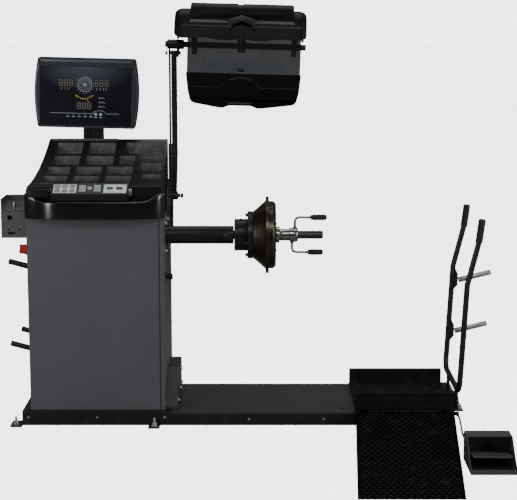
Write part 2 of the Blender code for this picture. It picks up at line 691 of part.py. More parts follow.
def make_left_side():
    """Sheet holder box, main switch and the pegs on the cabinet's left wall."""
    right = CABINET_LEFT - GAP
    sheet = HOLDER_SHEET
    side = [(HOLDER_FRONT_Y, HOLDER_LOW_Z), (HOLDER_FRONT_Y, HOLDER_FRONT_Z), (HOLDER_BACK_Y, HOLDER_BACK_Z),
            (HOLDER_BACK_Y, HOLDER_LOW_Z)]
    holder = add_part("tool_holder_box", prism(side, "X", HOLDER_LEFT, right), BLACK_COAT)
    hollow = [(HOLDER_FRONT_Y + sheet, HOLDER_LOW_Z - 0.01),
              (HOLDER_FRONT_Y + sheet, HOLDER_FRONT_Z - sheet),
              (HOLDER_BACK_Y - sheet, HOLDER_BACK_Z - sheet), (HOLDER_BACK_Y - sheet, HOLDER_LOW_Z - 0.01)]
    cut(holder, prism(hollow, "X", HOLDER_LEFT + sheet, right - sheet))
    join(holder, box(HOLDER_LEFT, HOLDER_LEFT + sheet, HOLDER_FRONT_Y + 0.004, HOLDER_BACK_Y,
                     HOLDER_FRONT_Z - 0.02, HOLDER_BACK_Z + 0.022))
    join(holder, box(HOLDER_LEFT + sheet / 2, right, HOLDER_BACK_Y - sheet, HOLDER_BACK_Y,
                     HOLDER_BACK_Z - 0.02, HOLDER_BACK_Z + 0.022))
    front_hole = rod((HOLDER_LEFT + 0.037, HOLDER_FRONT_Y - 0.01, HOLDER_FRONT_Z - 0.028),
                     (HOLDER_LEFT + 0.037, HOLDER_FRONT_Y + 0.01, HOLDER_FRONT_Z - 0.028), 0.020)
    slot = box(HOLDER_LEFT + 0.030, HOLDER_LEFT + 0.060, HOLDER_FRONT_Y - 0.01, HOLDER_FRONT_Y + 0.01,
               HOLDER_LOW_Z + 0.016, HOLDER_LOW_Z + 0.026)
    top_holes = [rod((x, y, HOLDER_FRONT_Z - 0.01), (x, y, HOLDER_BACK_Z + 0.02), 0.012)
                 for x, y in ((HOLDER_LEFT + 0.052, 0.015), (HOLDER_LEFT + 0.062, 0.060))]
    cut(holder, gather(front_hole, slot, *top_holes))

    half = SWITCH_PLATE / 2
    plate_left = right - SWITCH_PLATE_DEPTH
    add_part("switch_plate", box(plate_left, right, -half, half, SWITCH_Z - half, SWITCH_Z + half),
             SWITCH_YELLOW)
    knob_right = plate_left - GAP
    turn = axis_empty("main switch turn", (knob_right, 0, SWITCH_Z))
    knob = rod((knob_right, 0, SWITCH_Z), (knob_right - SWITCH_KNOB_DEPTH, 0, SWITCH_Z), SWITCH_KNOB)
    knob = add_part("switch_knob", knob, SWITCH_RED, turn, True)
    grip_x = knob_right - SWITCH_KNOB_DEPTH
    for sign in (-1, 1):
        flat = sign * 0.005
        cheek = box(grip_x - 0.01, grip_x + 0.022, min(flat, 5 * flat), max(flat, 5 * flat),
                    SWITCH_Z - half, SWITCH_Z + half)
        cut(knob, cheek)

    for name, y in zip(("front", "rear"), PEG_COLUMNS_Y):
        low, high = PEG_ROWS_Z
        strip = box(right - PEG_STRIP, right, y - 0.020, y + 0.020, low - 0.035, high + 0.035)
        rack = add_part(f"peg_rail_{name}", strip, BLACK_COAT)
        heading = Vector((-cos(PEG_RISE), 0, sin(PEG_RISE)))
        for z in PEG_ROWS_Z:
            foot = Vector((right - PEG_STRIP / 2 - PEG_DIAMETER / 2 * sin(PEG_RISE) + 0.002, y, z))
            join(rack, rod(foot, foot + heading * PEG_LENGTH, PEG_DIAMETER, 20))


def make_spindle():
    """Housing tube with bearings, the main shaft, and all that turns with it."""
    z = SPINDLE_Z
    bore = HOUSING_BORE / 2
    centre = (0, 0, z)
    housing = add_part("spindle_housing", rod((HOUSING_LEFT, 0, z), (HOUSING_RIGHT, 0, z), HOUSING_DIAMETER),
                       BLACK_COAT, smooth=True)
    wall = CABINET_RIGHT - CABINET_SHEET - GAP
    half = HOUSING_PLATE / 2
    join(housing, box(wall - HOUSING_PLATE_SHEET, wall, -half, half, z - half, z + half))
    left_seat = HOUSING_LEFT + BEARING_INSET + BEARING_WIDTH
    right_seat = HOUSING_RIGHT - BEARING_INSET - BEARING_WIDTH
    waist = bore - BEARING_SHOULDER
    cut(housing, turned([(HOUSING_LEFT - BEARING_WIDTH, bore), (left_seat, bore), (left_seat, waist),
                         (right_seat, waist), (right_seat, bore),
                         (HOUSING_RIGHT + BEARING_WIDTH, bore)], centre))

    shaft_r = SHAFT_DIAMETER / 2
    seats = (
        ("bearing_inner", left_seat - BEARING_WIDTH, left_seat - GAP),
        ("bearing_outer", right_seat + GAP, right_seat + BEARING_WIDTH),
    )
    for name, left, right in seats:
        ring = [(left, shaft_r + PIN_CLEARANCE), (right, shaft_r + PIN_CLEARANCE),
                (right, bore - PIN_CLEARANCE), (left, bore - PIN_CLEARANCE)]
        add_part(name, turned(ring, centre, bored=True), STEEL, smooth=True)

    spin = axis_empty("spindle spin", centre)
    seat_left = HOUSING_RIGHT + 0.003
    profile = [(SHAFT_LEFT, shaft_r - 0.002), (SHAFT_LEFT + 0.002, shaft_r), (SHAFT_RIGHT - 0.002, shaft_r),
               (SHAFT_RIGHT, shaft_r - 0.002)]
    add_part("main_shaft", turned(profile, centre), STEEL, spin, True)
    hug = shaft_r + GAP
    collar = [(seat_left, hug), (seat_left, COLLAR_DIAMETER / 2), (COLLAR_RIGHT, COLLAR_DIAMETER / 2),
              (COLLAR_RIGHT, BACKING_DIAMETER / 2), (BACKING_RIGHT, BACKING_DIAMETER / 2),
              (BACKING_RIGHT, hug)]
    add_part("mounting_flange", turned(collar, centre, bored=True, sides=36), BLACK_COAT, spin, True)
    start = BACKING_RIGHT + GAP
    flare = []
    for step in range(6):
        share = step / 5
        radius = BACKING_DIAMETER / 2 + (FLARE_DIAMETER - BACKING_DIAMETER) / 2 * share ** 1.5
        flare.append((start + (RIM_LEFT - start) * share, radius))
    face = [(start, hug)] + flare + [
        (RIM_LEFT, RIM_DIAMETER / 2), (RIM_RIGHT, RIM_DIAMETER / 2), (RIM_RIGHT, CENTRING_DIAMETER / 2),
        (CENTRING_RIGHT - 0.012, CENTRING_DIAMETER / 2), (CENTRING_RIGHT, CENTRING_DIAMETER / 2 - 0.012),
        (CENTRING_RIGHT, hug)]
    add_part("centring_flange", turned(face, centre, bored=True, sides=36), BRONZE, spin, True)

    press = axis_empty("quick nut slide", (NUT_RIGHT, 0, z), spin)
    slide = shaft_r + PIN_CLEARANCE
    ring_left = CENTRING_RIGHT + GAP
    sleeve = [(ring_left, slide), (ring_left, RING_DIAMETER / 2), (RING_RIGHT, RING_DIAMETER / 2),
              (RING_RIGHT, SLEEVE_DIAMETER / 2), (SLEEVE_RIGHT, SLEEVE_DIAMETER / 2), (SLEEVE_RIGHT, slide)]
    add_part("pressure_sleeve", turned(sleeve, centre, bored=True), CHROME, press, True)
    nut_left = SLEEVE_RIGHT + GAP
    nut = [(nut_left, slide), (nut_left, NUT_DIAMETER / 2), (NUT_RIGHT, NUT_DIAMETER / 2),
           (NUT_RIGHT, slide)]
    nut = add_part("quick_nut", turned(nut, centre, bored=True), CHROME, press, True)
    cranks = (("upper", CRANK_UPPER_X, 1, CRANK_UPPER_GRIP), ("lower", CRANK_LOWER_X, -1, CRANK_LOWER_GRIP))
    for name, x, way, (grip_left, grip_right) in cranks:
        foot_z = z + way * (NUT_DIAMETER / 2 - 0.006)
        reach_z = z + way * CRANK_REACH
        grip_end = grip_right - 0.004
        corners = [(x, 0, foot_z), (x, 0, reach_z), (grip_end, 0, reach_z)]
        route = rounded_route(corners, 0.018)
        join(nut, swept(route, CRANK_DIAMETER, 12))
        twist = axis_empty(f"grip {name} spin", (grip_left, 0, reach_z), press)
        hollow = CRANK_DIAMETER / 2 + PIN_CLEARANCE
        sleeve_r = CRANK_GRIP_DIAMETER / 2
        grip = [(grip_left, hollow), (grip_left, sleeve_r - 0.002), (grip_left + 0.002, sleeve_r),
                (grip_right - 0.003, sleeve_r), (grip_right, sleeve_r - 0.003), (grip_right, 0.001),
                (grip_right - 0.003, 0.001), (grip_right - 0.003, hollow)]
        add_part(f"crank_grip_{name}", turned(grip, (0, 0, reach_z), sides=20, bored=True), RUBBER, twist,
                 True)
    make_drive(spin)


def tangent_loop(first, second, extra):
    """The outline of a belt round two pulleys, each (y, z, radius), standing off by extra."""
    steps = 24
    (y1, z1, r1), (y2, z2, r2) = first, second
    span = hypot(y2 - y1, z2 - z1)
    base = atan2(z2 - z1, y2 - y1)
    lean = atan2(((span ** 2 - (r1 - r2) ** 2) ** 0.5), r1 - r2)
    outline = []
    arcs = ((first, base + lean, base + 2 * pi - lean), (second, base - lean, base + lean))
    for (y, z, radius), start, end in arcs:
        for step in range(steps + 1):
            angle = start + (end - start) * step / steps
            outline.append((y + (radius + extra) * cos(angle), z + (radius + extra) * sin(angle)))
    return outline


def make_drive(spin):
    """Belt drive inside the cabinet: spindle pulley, motor pulley, belt and the motor on its foot."""
    centre = (0, 0, SPINDLE_Z)
    left = SHAFT_LEFT + 0.012
    right = left + PULLEY_WIDTH
    hug = SHAFT_DIAMETER / 2 + GAP
    wheel = [(left, hug), (left, PULLEY_DIAMETER / 2), (right, PULLEY_DIAMETER / 2), (right, hug)]
    add_part("spindle_pulley", turned(wheel, centre, bored=True, sides=32), STEEL, spin, True)
    axis = axis_empty("motor spin", (0, 0, MOTOR_Z))
    motor_left = right + 0.030
    small = [(left, 0.003), (left, MOTOR_PULLEY_DIAMETER / 2), (right, MOTOR_PULLEY_DIAMETER / 2),
             (right, 0.009), (motor_left - 0.002, 0.009), (motor_left - 0.002, 0.003)]
    add_part("motor_pulley", turned(small, (0, 0, MOTOR_Z), bored=True), STEEL, axis, True)
    radius, motor_right = MOTOR_DIAMETER / 2, motor_left + MOTOR_LENGTH
    body = [(motor_left, radius - 0.010), (motor_left + 0.010, radius), (motor_right - 0.010, radius),
            (motor_right, radius - 0.010)]
    motor = add_part("drive_motor", turned(body, (0, 0, MOTOR_Z)), GREY_COAT, smooth=True)
    foot_left, foot_right = motor_left + 0.040, motor_left + MOTOR_LENGTH - 0.040
    join(motor, box(foot_left, foot_right, -0.045, 0.045, RAIL_TOP + 2 * GAP, MOTOR_Z - MOTOR_DIAMETER / 4))
    first = (0, SPINDLE_Z, PULLEY_DIAMETER / 2)
    second = (0, MOTOR_Z, MOTOR_PULLEY_DIAMETER / 2)
    belt = add_part("drive_belt", prism(tangent_loop(first, second, GAP + BELT_THICKNESS), "X",
                                        left + 0.003, right - 0.003), RUBBER)
    cut(belt, prism(tangent_loop(first, second, 2 * GAP), "X", left - 0.01, right + 0.01))


def hood_front(z):
    """Depth of the hood's outer skin at a height: a bow that is deepest near the window."""
    middle = 1.520
    span = 0.235
    return GUARD_Y - 0.125 + 0.075 * ((z - middle) / span) ** 2


def hood_band(low, high, depth, steps=10):
    """Outline in Y,Z of a bowed band, depth thick, between two heights."""
    outer = [(hood_front(low + (high - low) * step / steps), low + (high - low) * step / steps)
             for step in range(steps + 1)]
    return outer + [(y + depth, z) for y, z in reversed(outer)]


def make_guard():
    """Bracket, parallel arms, head with the level tube, and the hood's mouldings and window."""
    pin = 0.016
    bracket_left = CABINET_RIGHT + GAP
    flange = [(GUARD_Y - 0.060, 0.700), (GUARD_Y + 0.120, 0.700), (GUARD_Y + 0.120, 0.985), (GUARD_Y, 0.985),
              (GUARD_Y - 0.030, 0.950), (GUARD_Y - 0.060, 0.860)]
    bracket = add_part("guard_bracket", prism(flange, "X", bracket_left, bracket_left + 0.005), LIGHT_COAT)
    web = [(bracket_left, 0.700), (-0.080, 0.700), (-0.077, 0.930), (-0.079, 1.135), (bracket_left, 1.135)]
    join(bracket, prism(web, "Y", GUARD_Y + 0.1165, GUARD_Y + 0.1205))
    tie_y, tie_z = GUARD_Y + TIE_OFFSET[0], GUARD_Z + TIE_OFFSET[1]
    post_right = POST_X + POST_WIDTH / 2
    join(bracket, rod((bracket_left + 0.002, GUARD_Y, GUARD_Z), (post_right + 0.010, GUARD_Y, GUARD_Z), pin))
    join(bracket, rod((bracket_left + 0.002, tie_y, tie_z), (TIE_X + 0.006, tie_y, tie_z), 0.008))

    swing = axis_empty("guard swing", (POST_X, GUARD_Y, GUARD_Z))
    half = POST_WIDTH / 2
    foot = [(POST_X - 0.0065, GUARD_Z + 0.010), (POST_X + 0.0065, GUARD_Z + 0.010),
            (POST_X + 0.013, POST_FOOT_TOP), (POST_X - 0.017, POST_FOOT_TOP)]
    head_z = GUARD_Z + GUARD_ARM
    post = add_part("guard_post", prism(foot, "Y", GUARD_Y - 0.013, GUARD_Y + 0.013), BLACK_COAT, swing)
    join(post, box(POST_X - half, POST_X + half, GUARD_Y - half, GUARD_Y + half, POST_FOOT_TOP - 0.030,
                   head_z + 0.010))
    eye = rod((POST_X - half, GUARD_Y, GUARD_Z), (POST_X + half, GUARD_Y, GUARD_Z), 0.036)
    join(post, eye)
    cut(post, rod((POST_X - 0.05, GUARD_Y, GUARD_Z), (POST_X + 0.05, GUARD_Y, GUARD_Z),
                  pin + 2 * PIN_CLEARANCE))
    cut(post, rod((POST_X - 0.05, GUARD_Y, head_z), (POST_X + 0.05, GUARD_Y, head_z),
                  0.012 + 2 * PIN_CLEARANCE))

    tie = axis_empty("tie rod swing", (TIE_X, tie_y, tie_z))
    tie_top = tie_z + GUARD_ARM
    bar = rod((TIE_X, tie_y, tie_z + 0.004), (TIE_X, tie_y, tie_top - 0.004), TIE_DIAMETER, 12)
    link = add_part("guard_tie_rod", bar, STEEL, tie, True)
    for end_z in (tie_z, tie_top):
        join(link, rod((TIE_X - 0.003, tie_y, end_z), (TIE_X + 0.003, tie_y, end_z), 0.020))
        cut(link, rod((TIE_X - 0.02, tie_y, end_z), (TIE_X + 0.02, tie_y, end_z), 0.008 + 2 * PIN_CLEARANCE))

    level = axis_empty("guard level", (POST_X, GUARD_Y, head_z), swing)
    tube_z = head_z + GUARD_TUBE_RISE
    tube_r = GUARD_TUBE_DIAMETER / 2
    plate_left = post_right + PIN_CLEARANCE
    cheek = [(GUARD_Y - 0.018, head_z - 0.016), (GUARD_Y + 0.010, head_z - 0.018),
             (tie_y + 0.012, tie_top - 0.012),
             (tie_y + 0.012, tie_top + 0.012), (GUARD_Y + 0.024, tube_z + 0.020),
             (GUARD_Y - 0.020, tube_z + 0.020)]
    head = add_part("guard_head", prism(cheek, "X", plate_left, plate_left + 0.007), BLACK_COAT, level)
    join(head, rod((POST_X - half - 0.003, GUARD_Y, head_z), (plate_left + 0.002, GUARD_Y, head_z), 0.012))
    join(head, rod((TIE_X - 0.006, tie_y, tie_top), (plate_left + 0.002, tie_y, tie_top), 0.008))
    collar = rod((plate_left - 0.040, GUARD_Y, tube_z), (plate_left + 0.030, GUARD_Y, tube_z), 0.040)
    pivot = (plate_left, GUARD_Y, tube_z)
    join(head, leaned(collar, pivot, GUARD_LEAN))
    tube_hole = rod((plate_left - 0.10, GUARD_Y, tube_z), (plate_left + 0.10, GUARD_Y, tube_z),
                    2 * tube_r + 4 * GAP)
    cut(head, leaned(tube_hole, pivot, GUARD_LEAN))
    bar = rod((GUARD_TUBE_LEFT, GUARD_Y, tube_z), (GUARD_TUBE_RIGHT, GUARD_Y, tube_z), GUARD_TUBE_DIAMETER)
    add_part("guard_tube", leaned(bar, pivot, GUARD_LEAN), BLACK_COAT, level, True)
    make_hood(level, pivot, tube_z)


def make_hood(level, pivot, tube_z):
    """Upper moulding with its roll and handle, window, lower moulding, and clamps on the tube."""
    sheet = HOOD_SHEET
    roll_r = 0.046
    roll_y, roll_z = GUARD_Y - 0.045, HOOD_TOP_Z - roll_r

    def shoulder(inset):
        low = WINDOW_TOP_Z - (0.020 if inset else 0.005)
        back = GUARD_Y + (0.080 if inset else 0.045)
        levels = [low, WINDOW_TOP_Z, WINDOW_TOP_Z + 0.012]
        levels += [WINDOW_TOP_Z + 0.028 * step for step in (1, 2, 3)]
        top = SHOULDER_Z - inset
        return [(hood_front(z) + inset, z) for z in levels] + [
            (GUARD_Y - 0.060 + inset, top - 0.006), (GUARD_Y - 0.040, top), (GUARD_Y + 0.030, top),
            (back, top - 0.010), (back, WINDOW_TOP_Z + 0.060), (GUARD_Y + 0.010, low)]

    upper = add_part("hood_top_shell", leaned(prism(shoulder(0), "X", HOOD_LEFT, HOOD_RIGHT), pivot,
                                              GUARD_LEAN),
                     BLACK_PLASTIC, level)
    roll = rod((ROLL_LEFT, roll_y, roll_z), (ROLL_RIGHT, roll_y, roll_z), 2 * roll_r)
    join(upper, leaned(roll, pivot, GUARD_LEAN))
    cut(upper, leaned(prism(shoulder(sheet), "X", HOOD_LEFT + sheet, HOOD_RIGHT - sheet), pivot, GUARD_LEAN))
    middle = (ROLL_LEFT + ROLL_RIGHT) / 2
    grip = [(middle - 0.055, 1.634), (middle - 0.044, 1.634), (middle - 0.040, 1.650), (middle, 1.664),
            (middle + 0.040, 1.650), (middle + 0.044, 1.634), (middle + 0.055, 1.634),
            (middle + 0.055, 1.672),
            (middle, 1.688), (middle - 0.055, 1.672)]
    handle = prism(grip, "Y", hood_front(1.66) - 0.030, hood_front(1.66) + 0.012)
    join(upper, leaned(handle, pivot, GUARD_LEAN))

    tuck = sheet + GAP + 0.0005
    pane = [(y + tuck, z) for y, z in hood_band(WINDOW_LOW_Z - 0.015, WINDOW_TOP_Z + 0.010, WINDOW_SHEET)]
    add_part("hood_window", leaned(prism(pane, "X", WINDOW_LEFT + sheet, WINDOW_RIGHT - sheet), pivot,
                                   GUARD_LEAN),
             SMOKED, level)

    outline = [(WINDOW_LEFT, WINDOW_LOW_Z), (WINDOW_LEFT + 0.008, HOOD_LOW_Z + 0.070)]
    corner = 0.030
    low_left, low_right = WINDOW_LEFT + 0.014, WINDOW_RIGHT - 0.012
    for step in range(7):
        angle = radians(180 + 90 * step / 6)
        outline.append((low_left + corner + corner * cos(angle),
                        HOOD_LOW_Z + 0.016 + corner + corner * sin(angle)))
    outline += [(middle - 0.090, HOOD_LOW_Z), (middle - 0.070, HOOD_LOW_Z),
                (middle - 0.045, HOOD_LOW_Z + 0.010),
                (middle + 0.045, HOOD_LOW_Z + 0.010), (middle + 0.070, HOOD_LOW_Z),
                (middle + 0.090, HOOD_LOW_Z)]
    for step in range(7):
        angle = radians(270 + 90 * step / 6)
        outline.append((low_right - corner + corner * cos(angle),
                        HOOD_LOW_Z + 0.016 + corner + corner * sin(angle)))
    outline += [(WINDOW_RIGHT - 0.006, HOOD_LOW_Z + 0.070), (WINDOW_RIGHT, WINDOW_LOW_Z)]
    body = [(y, z) for y, z in hood_band(HOOD_LOW_Z - 0.01, WINDOW_LOW_Z + 0.01, 0.060)]
    lower = prism(outline, "Y", GUARD_Y - 0.30, GUARD_Y + 0.30)
    lower = add_part("hood_lower_shell", leaned(lower, pivot, GUARD_LEAN), BLACK_PLASTIC, level)
    boolean(lower, leaned(prism(body, "X", HOOD_LEFT, HOOD_RIGHT), pivot, GUARD_LEAN), "INTERSECT")
    inside = [(y + sheet, z) for y, z in hood_band(HOOD_LOW_Z + 0.02, WINDOW_LOW_Z + 0.05, 0.20)]
    cut(lower, leaned(prism(inside, "X", WINDOW_LEFT + 0.008 + 2 * sheet, WINDOW_RIGHT - 0.006 - 2 * sheet),
                      pivot,
                      GUARD_LEAN))

    # The pane runs down behind the lower moulding's skin, so its side cheeks stop short of the pane
    clear = [(y + sheet, z) for y, z in hood_band(WINDOW_LOW_Z - 0.016, WINDOW_LOW_Z + 0.05, 0.20)]
    cut(lower, leaned(prism(clear, "X", HOOD_LEFT, HOOD_RIGHT), pivot, GUARD_LEAN))

    tube_r = GUARD_TUBE_DIAMETER / 2
    for name, x in (("left", WINDOW_LEFT + 0.030), ("right", WINDOW_RIGHT - 0.030), ("middle", middle)):
        width = 0.016 if name == "middle" else 0.010
        top = WINDOW_TOP_Z + 0.060
        front = hood_front(top) + sheet + GAP
        behind_pane = tuck + WINDOW_SHEET + 0.005
        above = WINDOW_TOP_Z + 0.014
        strap = [(front, top), (front, top - 0.022), (hood_front(above) + behind_pane, above),
                 (hood_front(WINDOW_TOP_Z) + behind_pane, WINDOW_TOP_Z), (GUARD_Y - 0.022, tube_z - 0.040),
                 (GUARD_Y + 0.022, tube_z - 0.022), (GUARD_Y + 0.022, tube_z + 0.025),
                 (GUARD_Y - 0.010, top)]
        clamp = leaned(prism(strap, "X", x - width, x + width), pivot, GUARD_LEAN)
        if name == "middle":
            clamp.transform(Matrix.Translation((0, -GAP - sheet / 2, 0)))
            join(upper, clamp)
            clamp = upper
        else:
            clamp = add_part(f"hood_clamp_{name}", clamp, BLACK_PLASTIC, level)
        hole = rod((x - 0.05, GUARD_Y, tube_z), (x + 0.05, GUARD_Y, tube_z), 2 * tube_r + 4 * GAP)
        cut(clamp, leaned(hole, pivot, GUARD_LEAN))


def make_trolley():
    """Sliding base plate, the four lift arms and the cradle that they raise."""
    plate_low = RAIL_TOP + TROLLEY_LIFT_GAP
    plate_top = plate_low + TROLLEY_PLATE
    front = FRONT_Y - GAP - COVER_SHEET - SKIRT_GAP
    back = RAIL_BACK_Y + GAP + COVER_SHEET + SKIRT_GAP
    skirt_low = 0.022
    side = [(front - SKIRT_SHEET, skirt_low), (front, skirt_low), (front, plate_low), (back, plate_low),
            (back, skirt_low), (back + SKIRT_SHEET, skirt_low), (back + SKIRT_SHEET, plate_top),
            (front - SKIRT_SHEET, plate_top)]
    slide = axis_empty("trolley slide", (TROLLEY_LEFT, 0, plate_low))
    base = add_part("trolley_base", prism(side, "X", TROLLEY_LEFT, TROLLEY_RIGHT), BLACK_COAT, slide)
    join(base, box(TROLLEY_RIGHT - 0.01, TROLLEY_RIGHT + FRAME_FOOT, front - SKIRT_SHEET, back + SKIRT_SHEET,
                   plate_low, plate_top))

    floor_low = plate_top + PLATFORM_GAP
    floor_top = floor_low + PLATFORM_SHEET
    apron = front - SKIRT_SHEET + 0.002
    back_out = back + SKIRT_SHEET - 0.002
    back_in = back_out - BACK_WALL_WIDTH
    sheet = PLATFORM_SHEET
    lip = floor_low - 0.001
    slope = hypot(WEDGE_FOOT_Y - apron, APRON_TOP - floor_top)
    under = sheet * slope / (WEDGE_FOOT_Y - apron)
    foot_y = WEDGE_FOOT_Y - sheet * (WEDGE_FOOT_Y - apron) / (APRON_TOP - floor_top) * 0.5
    cradle = [(apron, lip), (apron, APRON_TOP), (apron + 0.005, APRON_TOP), (WEDGE_FOOT_Y, floor_top),
              (back_in, floor_top), (back_in, BACK_WALL_TOP), (back_out, BACK_WALL_TOP), (back_out, lip),
              (back_out - sheet, lip), (back_out - sheet, BACK_WALL_TOP - sheet),
              (back_in + sheet, BACK_WALL_TOP - sheet),
              (back_in + sheet, floor_low), (foot_y, floor_low), (apron + sheet + 0.003, APRON_TOP - under),
              (apron + sheet, APRON_TOP - under), (apron + sheet, lip)]
    pin_z = plate_top + 0.018
    left, right = TROLLEY_LEFT + 0.0025, TROLLEY_RIGHT - 0.002
    first_up = axis_empty("lift swing", (LIFT_FIRST_X, 0, pin_z), slide)
    crown = axis_empty("cradle level", (LIFT_FIRST_X + LIFT_ARM, 0, pin_z), first_up)
    platform = add_part("lift_cradle", prism(cradle, "X", left, right), BLACK_COAT, crown)
    wedge_end = [(apron + 0.0005, lip), (apron + 0.0005, APRON_TOP - 0.002),
                 (apron + 0.005, APRON_TOP - 0.0005),
                 (WEDGE_FOOT_Y - 0.004, floor_low + 0.001), (WEDGE_FOOT_Y - 0.004, lip)]
    for x in (left, right - sheet):
        join(platform, prism(wedge_end, "X", x, x + sheet))

    wedge_mid = apron + sheet + 0.020
    wall_mid = (back_in + back_out) / 2
    off = LIFT_LUG_SHEET / 2 + LIFT_ARM_SHEET / 2 + PIN_CLEARANCE
    numbers = {"front": wedge_mid, "rear": wall_mid}
    for end, y in numbers.items():
        for step, way in ((0, -1), (1, 1)):
            x = LIFT_FIRST_X + step * LIFT_STEP_X
            half_lug = LIFT_LUG_SHEET / 2
            lug_half = 0.010
            pin_end = y + way * (off + LIFT_ARM_SHEET / 2)
            lug = box(x - lug_half, x + lug_half, y - half_lug, y + half_lug, plate_top - 0.001,
                      pin_z + 0.008)
            join(base, lug)
            join(base, rod((x, y, pin_z), (x, pin_end, pin_z), LIFT_PIN_DIAMETER, 20))
            top_x = x + LIFT_ARM
            roof = BACK_WALL_TOP - sheet / 2 if end == "rear" else APRON_TOP - 0.020
            hanger = box(top_x - lug_half, top_x + lug_half, y - half_lug, y + half_lug, pin_z - 0.008, roof)
            join(platform, hanger)
            join(platform, rod((top_x, y, pin_z), (top_x, pin_end, pin_z), LIFT_PIN_DIAMETER, 20))
            arm_y = y + way * off
            name = f"lift_arm_{end}_{step + 1}"
            if name == "lift_arm_front_1":
                pivot = first_up
            else:
                pivot = axis_empty(name + " swing", (x, arm_y, pin_z), slide)
            arm = add_part(name, stadium(x, top_x, pin_z, LIFT_ARM_WIDTH, arm_y, LIFT_ARM_SHEET), STEEL,
                           pivot)
            for hole_x in (x, top_x):
                hole = rod((hole_x, arm_y - 0.01, pin_z), (hole_x, arm_y + 0.01, pin_z),
                           LIFT_PIN_DIAMETER + 2 * PIN_CLEARANCE, 20)
                cut(arm, hole)
    make_ramp(base, slide, front - SKIRT_SHEET, plate_top)
    make_handle_frame(slide, plate_top)


def stadium(x_from, x_to, z, width, y, thickness):
    """A flat bar with round ends, standing on edge along X."""
    outline = []
    for centre, start in ((x_to, -90), (x_from, 90)):
        for step in range(9):
            angle = radians(start + 180 * step / 8)
            outline.append((centre + width / 2 * cos(angle), z + width / 2 * sin(angle)))
    return prism(outline, "Y", y - thickness / 2, y + thickness / 2)


def make_ramp(base, slide, skirt_y, plate_top):
    """Hinge rod along the trolley's front edge and the ramp plate that hangs on it."""
    radius = RAMP_HINGE_DIAMETER / 2
    hinge_y = skirt_y - radius - RAMP_EYE_WALL - 4 * PIN_CLEARANCE
    hinge_z = plate_top - radius
    fold = axis_empty("ramp fold", (TROLLEY_LEFT, hinge_y, hinge_z), slide)
    join(base, rod((TROLLEY_LEFT, hinge_y, hinge_z), (TROLLEY_RIGHT, hinge_y, hinge_z), RAMP_HINGE_DIAMETER))
    for x in (TROLLEY_LEFT, TROLLEY_RIGHT - 0.004):
        join(base, box(x, x + 0.004, hinge_y - 0.002, skirt_y + 0.001, hinge_z - 0.012, hinge_z))
    head_y = hinge_y - radius - PIN_CLEARANCE
    toe_y = head_y - RAMP_RUN
    toe_z = RAMP_SHEET
    head_z = hinge_z + radius
    ramp = bmesh.new()
    head_left, head_right = TROLLEY_LEFT + 0.001, TROLLEY_RIGHT - 0.001
    corners = []
    for left, right, y, z in ((head_left, head_right, head_y, head_z), (*RAMP_TOE, toe_y, toe_z)):
        corners.append([ramp.verts.new(place) for place in (
            (left, y, z), (right, y, z), (right, y, z - RAMP_SHEET), (left, y, z - RAMP_SHEET))])
    head, toe = corners
    ramp.faces.new(head)
    ramp.faces.new(toe)
    for step in range(4):
        after = (step + 1) % 4
        ramp.faces.new([head[step], head[after], toe[after], toe[step]])
    plate = add_part("ramp", ramp, BLACK_COAT, fold)
    tabs = []
    for x in (TROLLEY_LEFT + 0.020, TROLLEY_RIGHT - 0.050):
        inner = radius + PIN_CLEARANCE
        ring = [(0, inner), (0.030, inner), (0.030, inner + RAMP_EYE_WALL), (0, inner + RAMP_EYE_WALL)]
        tabs.append(turned(ring, (x, hinge_y, hinge_z), bored=True, sides=20))
    for tab in tabs:
        join(plate, tab)
    for share in (RAMP_RIB_INSET, 1 - RAMP_RIB_INSET):
        head_x = head_left + (head_right - head_left) * share
        toe_x = RAMP_TOE[0] + (RAMP_TOE[1] - RAMP_TOE[0]) * share
        near, far = head_y - 3 * RAMP_SHEET, toe_y + RAMP_RIB_SHORT
        rib = bmesh.new()
        ends = []
        for x, y, high, low in ((head_x, near, head_z - RAMP_SHEET / 2, RAMP_RIB_LOW),
                                (toe_x, far, 2 * toe_z, 0)):
            left, right = x - RAMP_SHEET / 4, x + RAMP_SHEET / 4
            ends.append([rib.verts.new(place) for place in (
                (left, y, high), (right, y, high), (right, y, low), (left, y, low))])
        rib.faces.new(ends[0])
        rib.faces.new(ends[1])
        for step in range(4):
            after = (step + 1) % 4
            rib.faces.new([ends[0][step], ends[0][after], ends[1][after], ends[1][step]])
        join(plate, rib)


